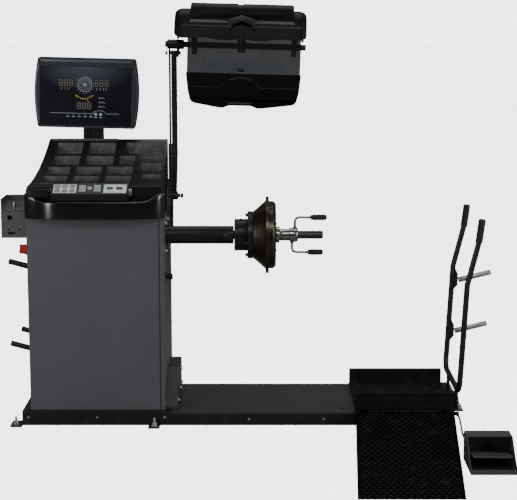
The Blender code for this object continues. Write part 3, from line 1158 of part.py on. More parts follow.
def make_handle_frame(slide, plate_top):
    """One bent tube from grip to grip with feet on the trolley, a peg plate, pegs and rubber grips."""
    def side_points(y):
        return [(x, y, z) for x, z in FRAME_SIDE]

    bar_x, bar_z = FRAME_BAR
    foot_bar = [(bar_x, FRAME_FRONT_Y, bar_z), (bar_x, FRAME_REAR_Y, bar_z)]
    corners = list(reversed(side_points(FRAME_FRONT_Y))) + foot_bar + side_points(FRAME_REAR_Y)
    route = rounded_route(corners, FRAME_BEND, 4)
    frame = add_part("handle_frame", swept(route, FRAME_TUBE, 14), BLACK_COAT, slide, True)
    for y in (FRAME_FRONT_Y + 0.100, FRAME_REAR_Y - 0.100):
        join(frame, box(bar_x - 0.004, bar_x + 0.004, y - 0.020, y + 0.020, plate_top + GAP, bar_z))
        join(frame, box(bar_x - 0.011, bar_x + 0.022, y - 0.024, y + 0.024, plate_top + GAP,
                        plate_top + 0.006))
    (low_x, low_z), (high_x, high_z) = FRAME_SIDE[0], FRAME_SIDE[1]

    def tube_x(z):
        return low_x + (high_x - low_x) * (z - low_z) / (high_z - low_z)

    edge = FRAME_TUBE / 2
    for peg_z in STORE_PEG_Z:
        plate_x = tube_x(peg_z) + edge + 0.012
        tongue = [(tube_x(peg_z - 0.040) + edge - 0.004, peg_z - 0.040), (plate_x, peg_z - 0.020),
                  (plate_x, peg_z + 0.030), (tube_x(peg_z + 0.055) + edge - 0.004, peg_z + 0.055)]
        join(frame, prism(tongue, "Y", FRAME_REAR_Y - 0.014, FRAME_REAR_Y + 0.014))
        way = Vector((cos(STORE_PEG_RISE), 0, sin(STORE_PEG_RISE)))
        foot = Vector((plate_x + PEG_DIAMETER / 2 * sin(STORE_PEG_RISE) + 0.001, FRAME_REAR_Y, peg_z))
        name = "storage_peg_lower" if peg_z < 0.4 else "storage_peg_upper"
        add_part(name, rod(foot, foot + way * STORE_PEG_LENGTH, PEG_DIAMETER, 24), ZINC, slide, True)
    end, before = Vector((*FRAME_SIDE[-1], 0)), Vector((*FRAME_SIDE[-2], 0))
    rise = (end - before).normalized()
    heading = Vector((rise.x, 0, rise.y))
    for name, y in (("front", FRAME_FRONT_Y), ("rear", FRAME_REAR_Y)):
        top = Vector((end.x, y, end.y))
        inner = FRAME_TUBE / 2 + GAP
        outer = inner + GRIP_WALL
        sleeve = [(-GRIP_LENGTH, inner), (-GRIP_LENGTH, outer), (0.001, outer), (0.004, outer - 0.003),
                  (0.004, 0.002), (GAP, 0.002), (GAP, inner)]
        add_part(f"handle_grip_{name}", turned(sleeve, top, heading, 20, True), RUBBER, slide, True)


def make_pedal():
    """Pedal housing of folded sheet, the sprung treadle inside it, and the air hose from the trolley."""
    left, right, back, front = PEDAL_LEFT, PEDAL_RIGHT, PEDAL_BACK_Y, PEDAL_FRONT_Y
    sheet = PEDAL_SHEET
    height = PEDAL_HEIGHT
    side = [(front, 0), (front, 0.026), (front + 0.030, 0.040), (back - 0.095, height - 0.010),
            (back - 0.085, height), (back, height), (back, 0)]
    housing = add_part("pedal_housing", prism(side, "X", left, right), BLACK_COAT)
    roof = [(front - 0.02, 0.018), (front + 0.006, 0.018), (front + 0.006, sheet), (back - sheet, sheet),
            (back - sheet, height - sheet), (back - 0.080, height - sheet), (back - 0.088, height + 0.02),
            (front - 0.02, height + 0.02)]
    cut(housing, prism(roof, "X", left + sheet, right - sheet))
    axle_y = back - 0.030
    for x in (left + sheet - 0.001, right - sheet - 0.009):
        join(housing, rod((x, axle_y, PEDAL_AXLE_Z), (x + 0.010, axle_y, PEDAL_AXLE_Z), 0.010, 16))
    x, y, z = HOSE_END
    join(housing, rod((x, y - GAP, z), (x, back - sheet / 2, z), 2 * HOSE_DIAMETER, 20))

    press = axis_empty("pedal press", ((left + right) / 2, axle_y, PEDAL_AXLE_Z))
    inner_left, inner_right = left + sheet + 0.0105, right - sheet - 0.0105
    tread = [(axle_y + 0.010, PEDAL_AXLE_Z - 0.008), (axle_y + 0.010, PEDAL_AXLE_Z + 0.008),
             (front + 0.050, PEDAL_AXLE_Z + 0.032), (front + 0.030, PEDAL_AXLE_Z + 0.032),
             (front + 0.030, PEDAL_AXLE_Z + 0.026), (front + 0.050, PEDAL_AXLE_Z + 0.026)]
    treadle = add_part("pedal_treadle", prism(tread, "X", inner_left, inner_right), BLACK_COAT, press)
    for x, way in ((inner_left, 1), (inner_right, -1)):
        cut(treadle, rod((x - way * 0.01, axle_y, PEDAL_AXLE_Z), (x + way * 0.009, axle_y, PEDAL_AXLE_Z),
                         0.010 + 2 * PIN_CLEARANCE, 16))


def eased(share, start, end):
    """0 before start, 1 after end, and a smooth rise between."""
    along = min(1.0, max(0.0, (share - start) / (end - start)))
    return 0.5 - 0.5 * cos(pi * along)


def hose_route():
    """Out of the elbow, down to the floor, forward in a shallow bow, and up into the pedal's gland."""
    start, end = Vector(HOSE_START), Vector(HOSE_END)
    route = []
    for step in range(HOSE_STEPS + 1):
        share = step / HOSE_STEPS
        x = start.x + HOSE_BOW * sin(pi * share) + (end.x - start.x) * eased(share, 0, 1)
        y = start.y + (end.y - start.y) * share
        z = start.z + (HOSE_ON_FLOOR - start.z) * eased(share, *HOSE_FALL)
        z += (end.z - HOSE_ON_FLOOR) * eased(share, *HOSE_RISE)
        route.append((x, y, z))
    return route


def make_hose():
    """Air hose from the gland on the rail's end to the gland on the pedal."""
    curve = bpy.data.curves.new("air_hose", "CURVE")
    curve.dimensions = "3D"
    curve.bevel_depth = HOSE_DIAMETER / 2
    curve.bevel_resolution = 2
    curve.use_fill_caps = True
    curve.render_resolution_u = 0
    route = hose_route()
    spline = curve.splines.new("POLY")
    spline.points.add(len(route) - 1)
    for point, place in zip(spline.points, route):
        point.co = (*place, 1)
    curve.materials.append(RUBBER)
    hose = bpy.data.objects.new("air_hose", curve)
    bpy.context.collection.objects.link(hose)


make_base()
make_cabinet()
make_tray()
make_keypad()
make_display()
make_left_side()
make_spindle()
make_guard()
make_trolley()
make_pedal()
make_hose()
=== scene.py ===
import json
from math import atan2, cos, hypot, pi, radians, sin

import bmesh
import bpy
from mathutils import Matrix, Vector


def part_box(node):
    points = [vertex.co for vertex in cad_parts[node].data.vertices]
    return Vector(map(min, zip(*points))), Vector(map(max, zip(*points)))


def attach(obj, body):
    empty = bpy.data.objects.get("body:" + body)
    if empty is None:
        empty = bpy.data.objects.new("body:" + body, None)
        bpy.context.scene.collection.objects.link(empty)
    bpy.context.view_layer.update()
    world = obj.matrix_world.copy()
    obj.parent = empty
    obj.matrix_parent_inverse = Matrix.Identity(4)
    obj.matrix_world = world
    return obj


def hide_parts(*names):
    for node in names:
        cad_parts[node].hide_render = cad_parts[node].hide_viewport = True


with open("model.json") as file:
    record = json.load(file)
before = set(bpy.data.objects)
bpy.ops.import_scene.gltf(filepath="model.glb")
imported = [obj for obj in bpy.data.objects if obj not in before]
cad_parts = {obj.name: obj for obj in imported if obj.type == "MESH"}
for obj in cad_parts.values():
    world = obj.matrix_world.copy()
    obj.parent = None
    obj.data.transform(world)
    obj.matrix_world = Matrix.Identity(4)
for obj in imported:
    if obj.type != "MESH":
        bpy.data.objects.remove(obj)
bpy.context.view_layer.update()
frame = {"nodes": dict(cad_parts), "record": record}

# Camera: a long lens at standing height in front of the machine, tipped down a little.
camera_data = bpy.data.cameras.new("camera")
camera_data.sensor_width = 36
camera_data.lens = 100.97
camera = bpy.data.objects.new("camera", camera_data)
camera.location = (0.29, -5.99, 1.718)
camera.rotation_euler = (radians(90 - 9.55), 0, 0)
bpy.context.scene.collection.objects.link(camera)
bpy.context.scene.camera = camera


# Studio: a pale floor with no edge in sight, an even pale sky and soft boxes on both sides.
def soft_box(name, place, target, width, height, power):
    """A rectangular area light that faces a place."""
    light = bpy.data.lights.new(name, "AREA")
    light.shape = "RECTANGLE"
    light.size = width
    light.size_y = height
    light.energy = power
    lamp = bpy.data.objects.new(name, light)
    lamp.location = place
    lamp.rotation_euler = (Vector(target) - Vector(place)).to_track_quat("-Z", "Y").to_euler()
    bpy.context.scene.collection.objects.link(lamp)


soft_box("box left", (-3.6, -2.0, 1.8), (-0.3, 0.0, 0.9), 1.1, 2.4, 34)
soft_box("box right", (3.8, -1.4, 1.9), (0.3, 0.0, 0.8), 1.1, 2.4, 44)
soft_box("box top", (0.3, 0.9, 4.6), (0.3, 0.0, 0.6), 3.4, 2.0, 50)
soft_box("box front", (0.2, -4.8, 4.6), (0.2, 0.0, 0.7), 2.2, 1.2, 42)
soft_box("strip front left", (-3.0, -4.6, 1.3), (-0.4, 0.0, 0.9), 0.5, 2.2, 26)
soft_box("strip front right", (4.0, -3.4, 1.4), (0.0, -0.1, 0.9), 0.35, 2.2, 20)


def split_by_ray(tree, seen, felt, output):
    """What the camera sees goes through one shader and what lights the object through another."""
    path = tree.nodes.new("ShaderNodeLightPath")
    choice = tree.nodes.new("ShaderNodeMixShader")
    tree.links.new(path.outputs["Is Camera Ray"], choice.inputs[0])
    tree.links.new(felt.outputs[0], choice.inputs[1])
    tree.links.new(seen.outputs[0], choice.inputs[2])
    tree.links.new(choice.outputs[0], output.inputs["Surface"])


world = bpy.data.worlds.new("studio")
world.use_nodes = True
sky = world.node_tree.nodes
felt_sky = sky["Background"]
felt_sky.inputs["Color"].default_value = (1.0, 1.0, 1.0, 1.0)
felt_sky.inputs["Strength"].default_value = 0.1
seen_sky = sky.new("ShaderNodeBackground")
seen_sky.inputs["Color"].default_value = (1.0, 1.0, 1.0, 1.0)
seen_sky.inputs["Strength"].default_value = 4.2
split_by_ray(world.node_tree, seen_sky, felt_sky, sky["World Output"])
bpy.context.scene.world = world

floor_material = bpy.data.materials.new("pale floor")
floor_material.use_nodes = True
floor_nodes = floor_material.node_tree.nodes
felt_floor = floor_nodes["Principled BSDF"]
felt_floor.inputs["Base Color"].default_value = (0.3, 0.3, 0.3, 1.0)
felt_floor.inputs["Roughness"].default_value = 0.9
lit_floor = floor_nodes.new("ShaderNodeBsdfDiffuse")
lit_floor.inputs["Color"].default_value = (0.9, 0.9, 0.9, 1.0)
own_floor = floor_nodes.new("ShaderNodeEmission")
own_floor.inputs["Strength"].default_value = 3.7
seen_floor = floor_nodes.new("ShaderNodeAddShader")
floor_material.node_tree.links.new(lit_floor.outputs[0], seen_floor.inputs[0])
floor_material.node_tree.links.new(own_floor.outputs[0], seen_floor.inputs[1])
split_by_ray(floor_material.node_tree, seen_floor, felt_floor, floor_nodes["Material Output"])
floor_mesh = bpy.data.meshes.new("floor")
floor_sheet = bmesh.new()
bmesh.ops.create_grid(floor_sheet, size=60, matrix=Matrix.Translation((0, 0, -0.0006)))
floor_sheet.to_mesh(floor_mesh)
floor_sheet.free()
floor_mesh.materials.append(floor_material)
floor = bpy.data.objects.new("floor", floor_mesh)
bpy.context.scene.collection.objects.link(floor)


# Finishes: every material is a Principled shader whose colour, roughness and bump vary over the piece.
class Amount:
    """A number on a socket of a material that sums are written with."""

    def __init__(self, finish, socket):
        self.finish = finish
        self.socket = socket

    def sum(self, operation, first, second):
        return self.finish.node("ShaderNodeMath", {"operation": operation}, {0: first, 1: second})

    def __add__(self, other):
        return self.sum("ADD", self, other)

    def __sub__(self, other):
        return self.sum("SUBTRACT", self, other)

    def __mul__(self, other):
        return self.sum("MULTIPLY", self, other)

    __radd__ = __add__
    __rmul__ = __mul__


class Finish:
    """One finish. Its one node method sets a node's settings, then its sockets."""

    def __init__(self, name, roughness, metallic=0.0):
        self.material = bpy.data.materials.new(name)
        self.material.use_nodes = True
        self.tree = self.material.node_tree
        self.shader = self.tree.nodes["Principled BSDF"]
        self.shader.inputs["Roughness"].default_value = roughness
        self.shader.inputs["Metallic"].default_value = metallic

    def node(self, kind, settings=None, inputs=None, output=0):
        made = self.tree.nodes.new(kind)
        for name, value in (settings or {}).items():
            if name == "stops":
                ramp = made.color_ramp
                while len(ramp.elements) < len(value):
                    ramp.elements.new(0.5)
                for element, (place, colour) in zip(ramp.elements, value):
                    element.position = place
                    element.color = (*colour, 1.0)
            else:
                setattr(made, name, value)
        for name, value in (inputs or {}).items():
            self.fill(made.inputs[name], value)
        return Amount(self, made.outputs[output])

    def fill(self, socket, value):
        if isinstance(value, Amount):
            self.tree.links.new(value.socket, socket)
        elif isinstance(value, tuple) and len(value) == 3 and socket.type == "RGBA":
            socket.default_value = (*value, 1.0)
        else:
            socket.default_value = value

    def set(self, name, value):
        self.fill(self.shader.inputs[name], value)
        return self

    def place(self):
        return self.node("ShaderNodeTexCoord", output=3)

    def noise(self, size, detail=3.0, where=None, rough=0.5):
        """Soft blotches of about a size in metres, from 0 to 1."""
        return self.node("ShaderNodeTexNoise", None, {
            "Vector": where or self.place(), "Scale": 0.5 / size, "Detail": detail, "Roughness": rough})

    def band(self, value, low, high):
        """0 below low, 1 above high, even in between."""
        return self.node("ShaderNodeMapRange", {"interpolation_type": "SMOOTHSTEP"}, {
            "Value": value, "From Min": low, "From Max": high})

    def blend(self, share, first, second):
        return self.node("ShaderNodeMix", {"data_type": "RGBA"}, {0: share, 6: first, 7: second}, output=2)

    def edge(self):
        """1 on the rounded edges of a piece, else 0."""
        return self.node("ShaderNodeAttribute", {"attribute_name": "edge"}, output=2)

    def sheen(self, level):
        """How much a surface mirrors: 0.5 for plain plastic or paint, less for a dull one."""
        self.shader.inputs["Specular IOR Level"].default_value = level
        return self

    def bump(self, height, depth, strength=1.0):
        self.set("Normal", self.node("ShaderNodeBump", None, {
            "Strength": strength, "Distance": depth, "Height": height}))
        return self


def tint(colour, factor):
    return tuple(min(1.0, part * factor) for part in colour)


def powder_coat(name, colour, roughness, grain=0.0009, depth=0.00008, worn=0.35):
    """Baked powder coat: fine orange peel, faint cloudiness, dust, and edges rubbed a little brighter."""
    finish = Finish(name, roughness)
    cloud = finish.noise(0.16, 4.0)
    dust = finish.band(finish.noise(0.035, 6.0, rough=0.65), 0.5, 0.82)
    rub = finish.edge() * finish.band(finish.noise(0.012, 4.0), 0.42, 0.62)
    body = finish.blend(cloud, tint(colour, 0.86), tint(colour, 1.14))
    body = finish.blend(dust * 0.1, body, (0.23, 0.22, 0.21))
    finish.set("Base Color", finish.blend(rub * worn, body, tint(colour, 3.2)))
    finish.set("Roughness", dust * 0.1 + (cloud * 0.08 + (roughness - 0.05)) - rub * 0.12)
    peel = finish.noise(grain, 2.0) + finish.noise(grain * 4.5, 2.0) * 0.8
    return finish.bump(peel, depth)


def moulded(name, colour, roughness, grain=0.0006, depth=0.00005):
    """Injection-moulded plastic: spark-eroded grain, flow clouds, and handled edges a little glossier."""
    finish = Finish(name, roughness)
    flow = finish.noise(0.09, 3.0)
    handled = finish.band(finish.noise(0.022, 5.0), 0.48, 0.74)
    body = finish.blend(flow, tint(colour, 0.82), tint(colour, 1.2))
    finish.set("Base Color", finish.blend(finish.edge() * 0.22, body, tint(colour, 2.4)))
    finish.set("Roughness", flow * 0.08 + (roughness - 0.04) - handled * 0.07 - finish.edge() * 0.05)
    return finish.bump(finish.noise(grain, 3.0) + finish.noise(grain * 7, 2.0) * 0.4, depth)


def plated(name, colour, roughness, smudge=0.12):
    """Bright plated steel: fine draw marks, haze and fingerprints that dull it in patches."""
    finish = Finish(name, roughness, 1.0)
    haze = finish.band(finish.noise(0.012, 5.0, rough=0.6), 0.4, 0.75)
    cloud = finish.noise(0.05, 3.0)
    finish.set("Base Color", finish.blend(haze * 0.5 + cloud * 0.3, colour, tint(colour, 0.62)))
    finish.set("Roughness", haze * smudge + cloud * 0.06 + roughness)
    return finish.bump(finish.noise(0.001, 2.0), 0.000015)


def turned_steel(name, colour, roughness, groove=0.0011, stain=(0.1, 0.065, 0.035)):
    """Steel turned on a lathe about X: rings of tool marks, an oil film and brown stains."""
    finish = Finish(name, roughness, 1.0)
    along = finish.node("ShaderNodeSeparateXYZ", None, {0: finish.place()})
    rings = finish.node("ShaderNodeTexWave", {"wave_type": "BANDS", "bands_direction": "X"}, {
        "Vector": finish.place(), "Scale": 0.314 / groove, "Distortion": 0.3, "Detail": 1.0})
    drift = finish.noise(0.004, 2.0, where=finish.node("ShaderNodeCombineXYZ", None, {0: along}))
    oil = finish.band(finish.noise(0.03, 5.0, rough=0.6), 0.42, 0.72)
    body = finish.blend(drift, tint(colour, 0.75), tint(colour, 1.3))
    finish.set("Base Color", finish.blend(oil * 0.35, body, stain))
    finish.set("Roughness", oil * 0.14 + drift * 0.12 + (roughness - 0.06) - finish.edge() * 0.05)
    return finish.bump(rings + drift * 0.6, 0.00003)


black_coat = powder_coat("black powder coat", (0.012, 0.012, 0.0125), 0.38)
rail_coat = powder_coat("satin black rail coat", (0.046, 0.046, 0.047), 0.42, depth=0.0001)
deck_coat = powder_coat("dull black deck coat", (0.007, 0.007, 0.007), 0.6, worn=0.2).sheen(0.22)
ramp_coat = powder_coat("matt black ramp coat", (0.0025, 0.0025, 0.0026), 0.85, worn=0.2).sheen(0.04)
pedal_coat = powder_coat("rubbed black pedal coat", (0.08, 0.076, 0.073), 0.42, worn=0.5)
holder_coat = powder_coat("grey black holder coat", (0.135, 0.14, 0.15), 0.36, worn=0.3)
grey_coat = powder_coat("dark grey powder coat", (0.118, 0.121, 0.132), 0.5, grain=0.0013, depth=0.00012,
                        worn=0.12)
light_coat = powder_coat("light grey coat", (0.052, 0.052, 0.053), 0.46, worn=0.2)
black_moulding = moulded("satin black moulding", (0.01, 0.01, 0.0105), 0.44).sheen(0.34)
slate_moulding = moulded("slate display moulding", (0.041, 0.05, 0.058), 0.38)
key_moulding = moulded("grey key moulding", (0.42, 0.43, 0.44), 0.42)
label_film = moulded("white label film", (0.78, 0.79, 0.8), 0.34, depth=0.00002)
green_key = moulded("green key moulding", (0.02, 0.19, 0.065), 0.38)
red_key = moulded("dark red key moulding", (0.15, 0.014, 0.014), 0.38)
orange_moulding = moulded("orange switch moulding", (0.75, 0.2, 0.05), 0.4)
red_moulding = moulded("red switch moulding", (0.62, 0.03, 0.02), 0.34)
black_rubber = moulded("black rubber", (0.02, 0.02, 0.02), 0.72, grain=0.0012, depth=0.00018)
bright_steel = plated("bright steel", (0.52, 0.52, 0.53), 0.24)
zinc_plate = plated("zinc plate", (0.66, 0.67, 0.66), 0.26, smudge=0.2)
chrome_plate = plated("chrome plate", (0.44, 0.44, 0.43), 0.11)
dark_steel = turned_steel("blackened turned steel", (0.1, 0.084, 0.062), 0.28, stain=(0.045, 0.034, 0.022))
shaft_steel = turned_steel("oiled shaft steel", (0.16, 0.155, 0.16), 0.3, groove=0.0007)
black_oxide = plated("black oxide", (0.06, 0.06, 0.062), 0.34, smudge=0.16)


# Air hose: 8 mm black rubber hose from an elbow on the rail's end to the gland on the pedal's back.
# It falls to the floor, runs forward in a shallow curve and rises again; both glands stay still.
def round_curve(name, points, diameter, resolution):
    """A curve object through points, with a round section and closed ends."""
    line = bpy.data.curves.new(name, "CURVE")
    line.dimensions = "3D"
    line.bevel_depth = diameter / 2
    line.bevel_resolution = resolution
    line.use_fill_caps = True
    spline = line.splines.new("POLY")
    spline.points.add(len(points) - 1)
    for point, place in zip(spline.points, points):
        point.co = (*place, 1)
    holder = bpy.data.objects.new(name, line)
    bpy.context.scene.collection.objects.link(holder)
    return holder


hose_diameter = 0.008
hose_leaves = (1.1165, -0.1688, 0.045)
hose_enters = (1.1, -0.5973, 0.052)
hose_on_floor = 0.0043
hose_steps = 26
hose_points = [hose_leaves]


def eased(share):
    """A share from 0 to 1 that starts and ends gently."""
    return 0.5 - 0.5 * cos(pi * share)


for step in range(1, hose_steps):
    share = step / hose_steps
    y = hose_leaves[1] + (hose_enters[1] - hose_leaves[1]) * share
    fall = min(1.0, max(0.0, (share - 0.05) / 0.27))
    rise = min(1.0, max(0.0, (share - 0.64) / 0.3))
    x = hose_leaves[0] + 0.008 * sin(pi * share) + (hose_enters[0] - hose_leaves[0]) * eased(share)
    z = hose_leaves[2] + (hose_on_floor - hose_leaves[2]) * eased(fall)
    z += (hose_enters[2] - hose_on_floor) * eased(rise)
    hose_points.append((x, y, z))
hose_points.append(hose_enters)
hose = round_curve("air_hose_line", hose_points, hose_diameter, 6)
hose.data.materials.append(black_rubber.material)
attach(hose, "base")
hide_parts("air_hose")


# Base frame: folded and welded 4 mm plinth and rail, powder coated, with anchor lugs on the floor.
def finished(name, shape, body, finish, smooth=38, stands_for=None):
    """A piece from a bmesh or a list of them, riding on its body; it may stand for a node."""
    if isinstance(shape, list):
        shape = joined(*shape)
    mesh = bpy.data.meshes.new(name)
    bmesh.ops.remove_doubles(shape, verts=shape.verts, dist=1e-6)
    shape.to_mesh(mesh)
    shape.free()
    mesh.shade_smooth()
    mesh.set_sharp_from_angle(angle=radians(smooth))
    mesh.materials.append(finish.material)
    piece = bpy.data.objects.new(name, mesh)
    bpy.context.scene.collection.objects.link(piece)
    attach(piece, body)
    if stands_for:
        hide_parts(stands_for)
    return piece


def rounded(shape, edges, width, segments):
    """Rounds some edges of a bmesh."""
    return bmesh.ops.bevel(shape, geom=edges, offset=width, segments=segments, affect="EDGES", profile=0.5,
                           material=-1)


def softened(node, width, finish, segments=2, steep=28, shortest=0.0, merge=0.8):
    """The CAD node's own shape with its edges rounded, standing for the node."""
    shape = bmesh.new()
    shape.from_mesh(frame["nodes"][node].data)
    layer = shape.faces.layers.float.new("edge")
    bmesh.ops.remove_doubles(shape, verts=shape.verts, dist=1e-5)
    if merge:
        bmesh.ops.dissolve_limit(shape, angle_limit=radians(merge), verts=shape.verts, edges=shape.edges)
    edges = [edge for edge in shape.edges if len(edge.link_faces) == 2 and edge.calc_length() > shortest
             and edge.calc_face_angle(0) > radians(steep)]
    for face in rounded(shape, edges, width, segments)["faces"]:
        face[layer] = 1.0
    body = next(name for name, nodes in frame["record"]["behaviour"]["bodies"].items() if node in nodes)
    piece = finished(node + "_finished", shape, body, finish, 50)
    weighted = piece.modifiers.new("even shading", "WEIGHTED_NORMAL")
    weighted.keep_sharp = True
    weighted.weight = 80
    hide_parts(node)
    return piece


def joined(*shapes):
    """Several bmeshes as one."""
    whole = bmesh.new()
    for shape in shapes:
        mesh = bpy.data.meshes.new("part of a piece")
        shape.to_mesh(mesh)
        shape.free()
        whole.from_mesh(mesh)
        bpy.data.meshes.remove(mesh)
    return whole


def aimed(shape, place, direction):
    """A shape made along +Z at the origin, turned to a direction and put in its place."""
    turn = Vector((0, 0, 1)).rotation_difference(Vector(direction)).to_matrix().to_4x4()
    shape.transform(Matrix.Translation(place) @ turn)
    return shape


def lathed(profile, place, direction=(0, 0, 1), steps=64, ring=False):
    """A turned shape from (height along the axis, radius) points; a ring's profile is a closed loop."""
    shape = bmesh.new()
    points = [shape.verts.new((radius, 0, height)) for height, radius in profile]
    edges = [shape.edges.new(pair) for pair in zip(points, points[1:])]
    if ring:
        edges.append(shape.edges.new((points[-1], points[0])))
    bmesh.ops.spin(shape, geom=points + edges, cent=(0, 0, 0), axis=(0, 0, 1), angle=2 * pi, steps=steps,
                   use_merge=True)
    bmesh.ops.remove_doubles(shape, verts=shape.verts, dist=1e-6)
    bmesh.ops.recalc_face_normals(shape, faces=shape.faces)
    return aimed(shape, place, direction)


def block(low, high, rounding=0.0, segments=2):
    """A box between two corners with rounded edges."""
    shape = bmesh.new()
    size = Vector(high) - Vector(low)
    middle = (Vector(low) + Vector(high)) / 2
    bmesh.ops.create_cube(shape, size=1, matrix=Matrix.Translation(middle) @ Matrix.Diagonal((*size, 1)))
    if rounding:
        rounded(shape, shape.edges[:], rounding, segments)
    return shape


def hex_bolt(place, direction, across, height, washer=1.45):
    """A hexagon head with a chamfered top on a round washer."""
    thick = height * 0.28
    plate = lathed([(0, 0), (0, across * washer / 2 * 1.05), (thick * 0.8, across * washer / 2 * 1.05),
                    (thick, across * washer / 2), (thick, 0)], (0, 0, 0), steps=28)
    head = bmesh.new()
    bmesh.ops.create_cone(head, cap_ends=True, segments=6, radius1=across / 1.732, radius2=across / 1.732,
                          depth=height, matrix=Matrix.Translation((0, 0, thick + height / 2)))
    rounded(head, head.edges[:], across * 0.05, 2)
    return aimed(joined(plate, head), place, direction)


def dome_screw(place, direction, diameter):
    """A domed screw head with a round socket sunk in it."""
    radius = diameter / 2
    rise = diameter * 0.32
    well = radius * 0.45
    deep = rise * 0.45
    profile = [(0, radius), (rise * 0.25, radius), (rise * 0.62, radius * 0.86), (rise * 0.9, radius * 0.66),
               (rise, well * 1.08), (deep, well), (deep, 0)]
    return lathed(profile, place, direction, steps=20)


softened("base_frame", 0.0011, black_coat)
base_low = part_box("base_frame")[0]
lug_top = 0.008
anchor_spots = ((base_low.x + 0.022, -0.176, lug_top), (-0.14, -0.202, lug_top))
anchors = [hex_bolt(spot, (0, 0, 1), 0.019, 0.01) for spot in anchor_spots]
anchors += [lathed([(0, 0.0052), (0.03, 0.0052), (0.033, 0.004), (0.033, 0)], spot, steps=20)
            for spot in anchor_spots]
finished("anchor_bolts", anchors, "base", zinc_plate)

# Screws in the front of the plinth and the rail, all zinc plated.
front_screws = [dome_screw((x, -0.17, z), (0, -1, 0), 0.009)
                for x, z in ((-0.665, 0.034), (-0.38, 0.034), (-0.1, 0.034), (0.25, 0.026), (0.56, 0.026))]
finished("plinth_screws", front_screws, "base", zinc_plate)

# Rail cover: 2.5 mm folded sheet on the rail, its front fold rubbed bright, with sunk screws.
softened("rail_cover", 0.0012, rail_coat, segments=3)
cover_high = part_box("rail_cover")[1]
cover_screws = [dome_screw((x, y, cover_high.z - 0.0004), (0, 0, 1), 0.01)
                for x in (-0.03, 0.64) for y in (-0.13, 0.235)]
finished("rail_cover_screws", cover_screws, "base", black_oxide)

# Gusset: a grey welded box that ties the cabinet to the rail, with four bolts through its side.
softened("rail_gusset", 0.0012, light_coat)
gusset_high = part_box("rail_gusset")[1]
gusset_bolts = [hex_bolt((gusset_high.x, y, z), (1, 0, 0), 0.013, 0.006)
                for y, z in ((-0.06, 0.078), (0.1, 0.09), (0.2, 0.09), (0.15, 0.165))]
finished("gusset_bolts", gusset_bolts, "base", zinc_plate)

# Cabinet: 3 mm folded shell with fine dark grey powder coat; the black strip near its right edge is painted
# shade standing for the shadow gap there.
softened("cabinet_shell", 0.0016, grey_coat, segments=3)
shell_low, shell_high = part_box("cabinet_shell")
# Painted shade: a black strip where the gap near the right edge falls in shadow.
gap_shade = block((shell_high.x - 0.0195, shell_low.y - 0.0012, shell_low.z + 0.002),
             (shell_high.x - 0.0165, shell_low.y + 0.0004, shell_high.z - 0.002), 0.0004)
finished("cabinet_shadow_gap", gap_shade, "base", black_coat)
cabinet_screws = [dome_screw((wall_x, y, z), (way, 0, 0), 0.009)
                  for wall_x, way in ((shell_high.x - 0.0002, 1), (shell_low.x + 0.0002, -1))
                  for y in (shell_low.y + 0.022, shell_high.y - 0.022) for z in (0.12, 0.33, 0.55, 0.82)]
finished("cabinet_screws", cabinet_screws, "base", black_oxide)

# Rear cover: a screwed sheet with two rows of pressed louvres for the motor, and a cable gland.
softened("rear_cover", 0.0012, grey_coat)
rear_low, rear_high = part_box("rear_cover")
louvres = []
for column in (-0.48, -0.28):
    for row in range(9):
        vent = lathed([(0, 0.0), (0, 0.0065), (0.0035, 0.0058), (0.0055, 0.0035), (0.006, 0)], (0, 0, 0),
                      steps=16)
        vent.transform(Matrix.Diagonal((11.5, 1, 1, 1)))
        louvres.append(aimed(vent, (0, 0, 0), (0, 1, 0)))
        louvres[-1].transform(Matrix.Translation((column, rear_high.y - 0.0003, 0.16 + row * 0.03)))
finished("rear_louvres", louvres, "base", grey_coat, 60)
rear_screws = [dome_screw((x, rear_high.y - 0.0003, z), (0, 1, 0), 0.01)
               for x in (rear_low.x + 0.018, rear_high.x - 0.018, (rear_low.x + rear_high.x) / 2)
               for z in (rear_low.z + 0.02, (rear_low.z + rear_high.z) / 2, rear_high.z - 0.022)]
gland = lathed([(0, 0.014), (0.004, 0.014), (0.004, 0.011), (0.016, 0.0105), (0.019, 0.008), (0.019, 0)],
               (-0.6, rear_high.y - 0.0003, 0.1), (0, 1, 0), 32)
finished("rear_cover_screws", rear_screws, "base", black_oxide)
finished("mains_gland", gland, "base", black_moulding)

# Weight tray: one glossy black moulding whose sloping deck is full of drafted bins for balance weights.
# The bins' walls carry painted light and shade with scuffs: forward-facing walls are painted a pale lit
# grey, their floors darker and their side walls darker still; a face attribute tells them from the deck and
# the ribs.
bin_moulding = Finish("black tray moulding", 0.3)
# The well attribute is a painted light mask: 1 on the lit forward-facing bin walls, less on the floors and
# shaded side walls.
well = bin_moulding.node("ShaderNodeAttribute", {"attribute_name": "well"}, output=2)
scuffs = bin_moulding.band(bin_moulding.noise(0.018, 5.0, rough=0.65), 0.35, 0.75)
deck_tone = bin_moulding.blend(bin_moulding.noise(0.1, 3.0), (0.008, 0.008, 0.0085), (0.016, 0.016, 0.017))
deck_tone = bin_moulding.blend(bin_moulding.edge() * 0.3, deck_tone, (0.09, 0.09, 0.093))
lit_scuffed_wall_tone = bin_moulding.blend(scuffs, (0.105, 0.105, 0.108), (0.2, 0.2, 0.203))
bin_moulding.set("Base Color", bin_moulding.blend(well, deck_tone, lit_scuffed_wall_tone))
bin_moulding.set("Roughness", scuffs * 0.1 + well * 0.16 + 0.26)
bin_moulding.sheen(0.32)
bin_moulding.bump(bin_moulding.noise(0.0009, 3.0) + bin_moulding.noise(0.006, 2.0) * 0.4, 0.00008)
tray_low, tray_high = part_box("weight_tray")
tray = softened("weight_tray", 0.0016, bin_moulding, segments=2, shortest=0.004, merge=0)
tray_front_y = tray_low.y
deck_front_z, deck_slope, deck_curve = 0.997, 0.098, 0.64


def deck_z(y):
    """Height of the tray's deck at a depth."""
    run = y - tray_front_y
    return deck_front_z + deck_slope * run + deck_curve * run ** 2


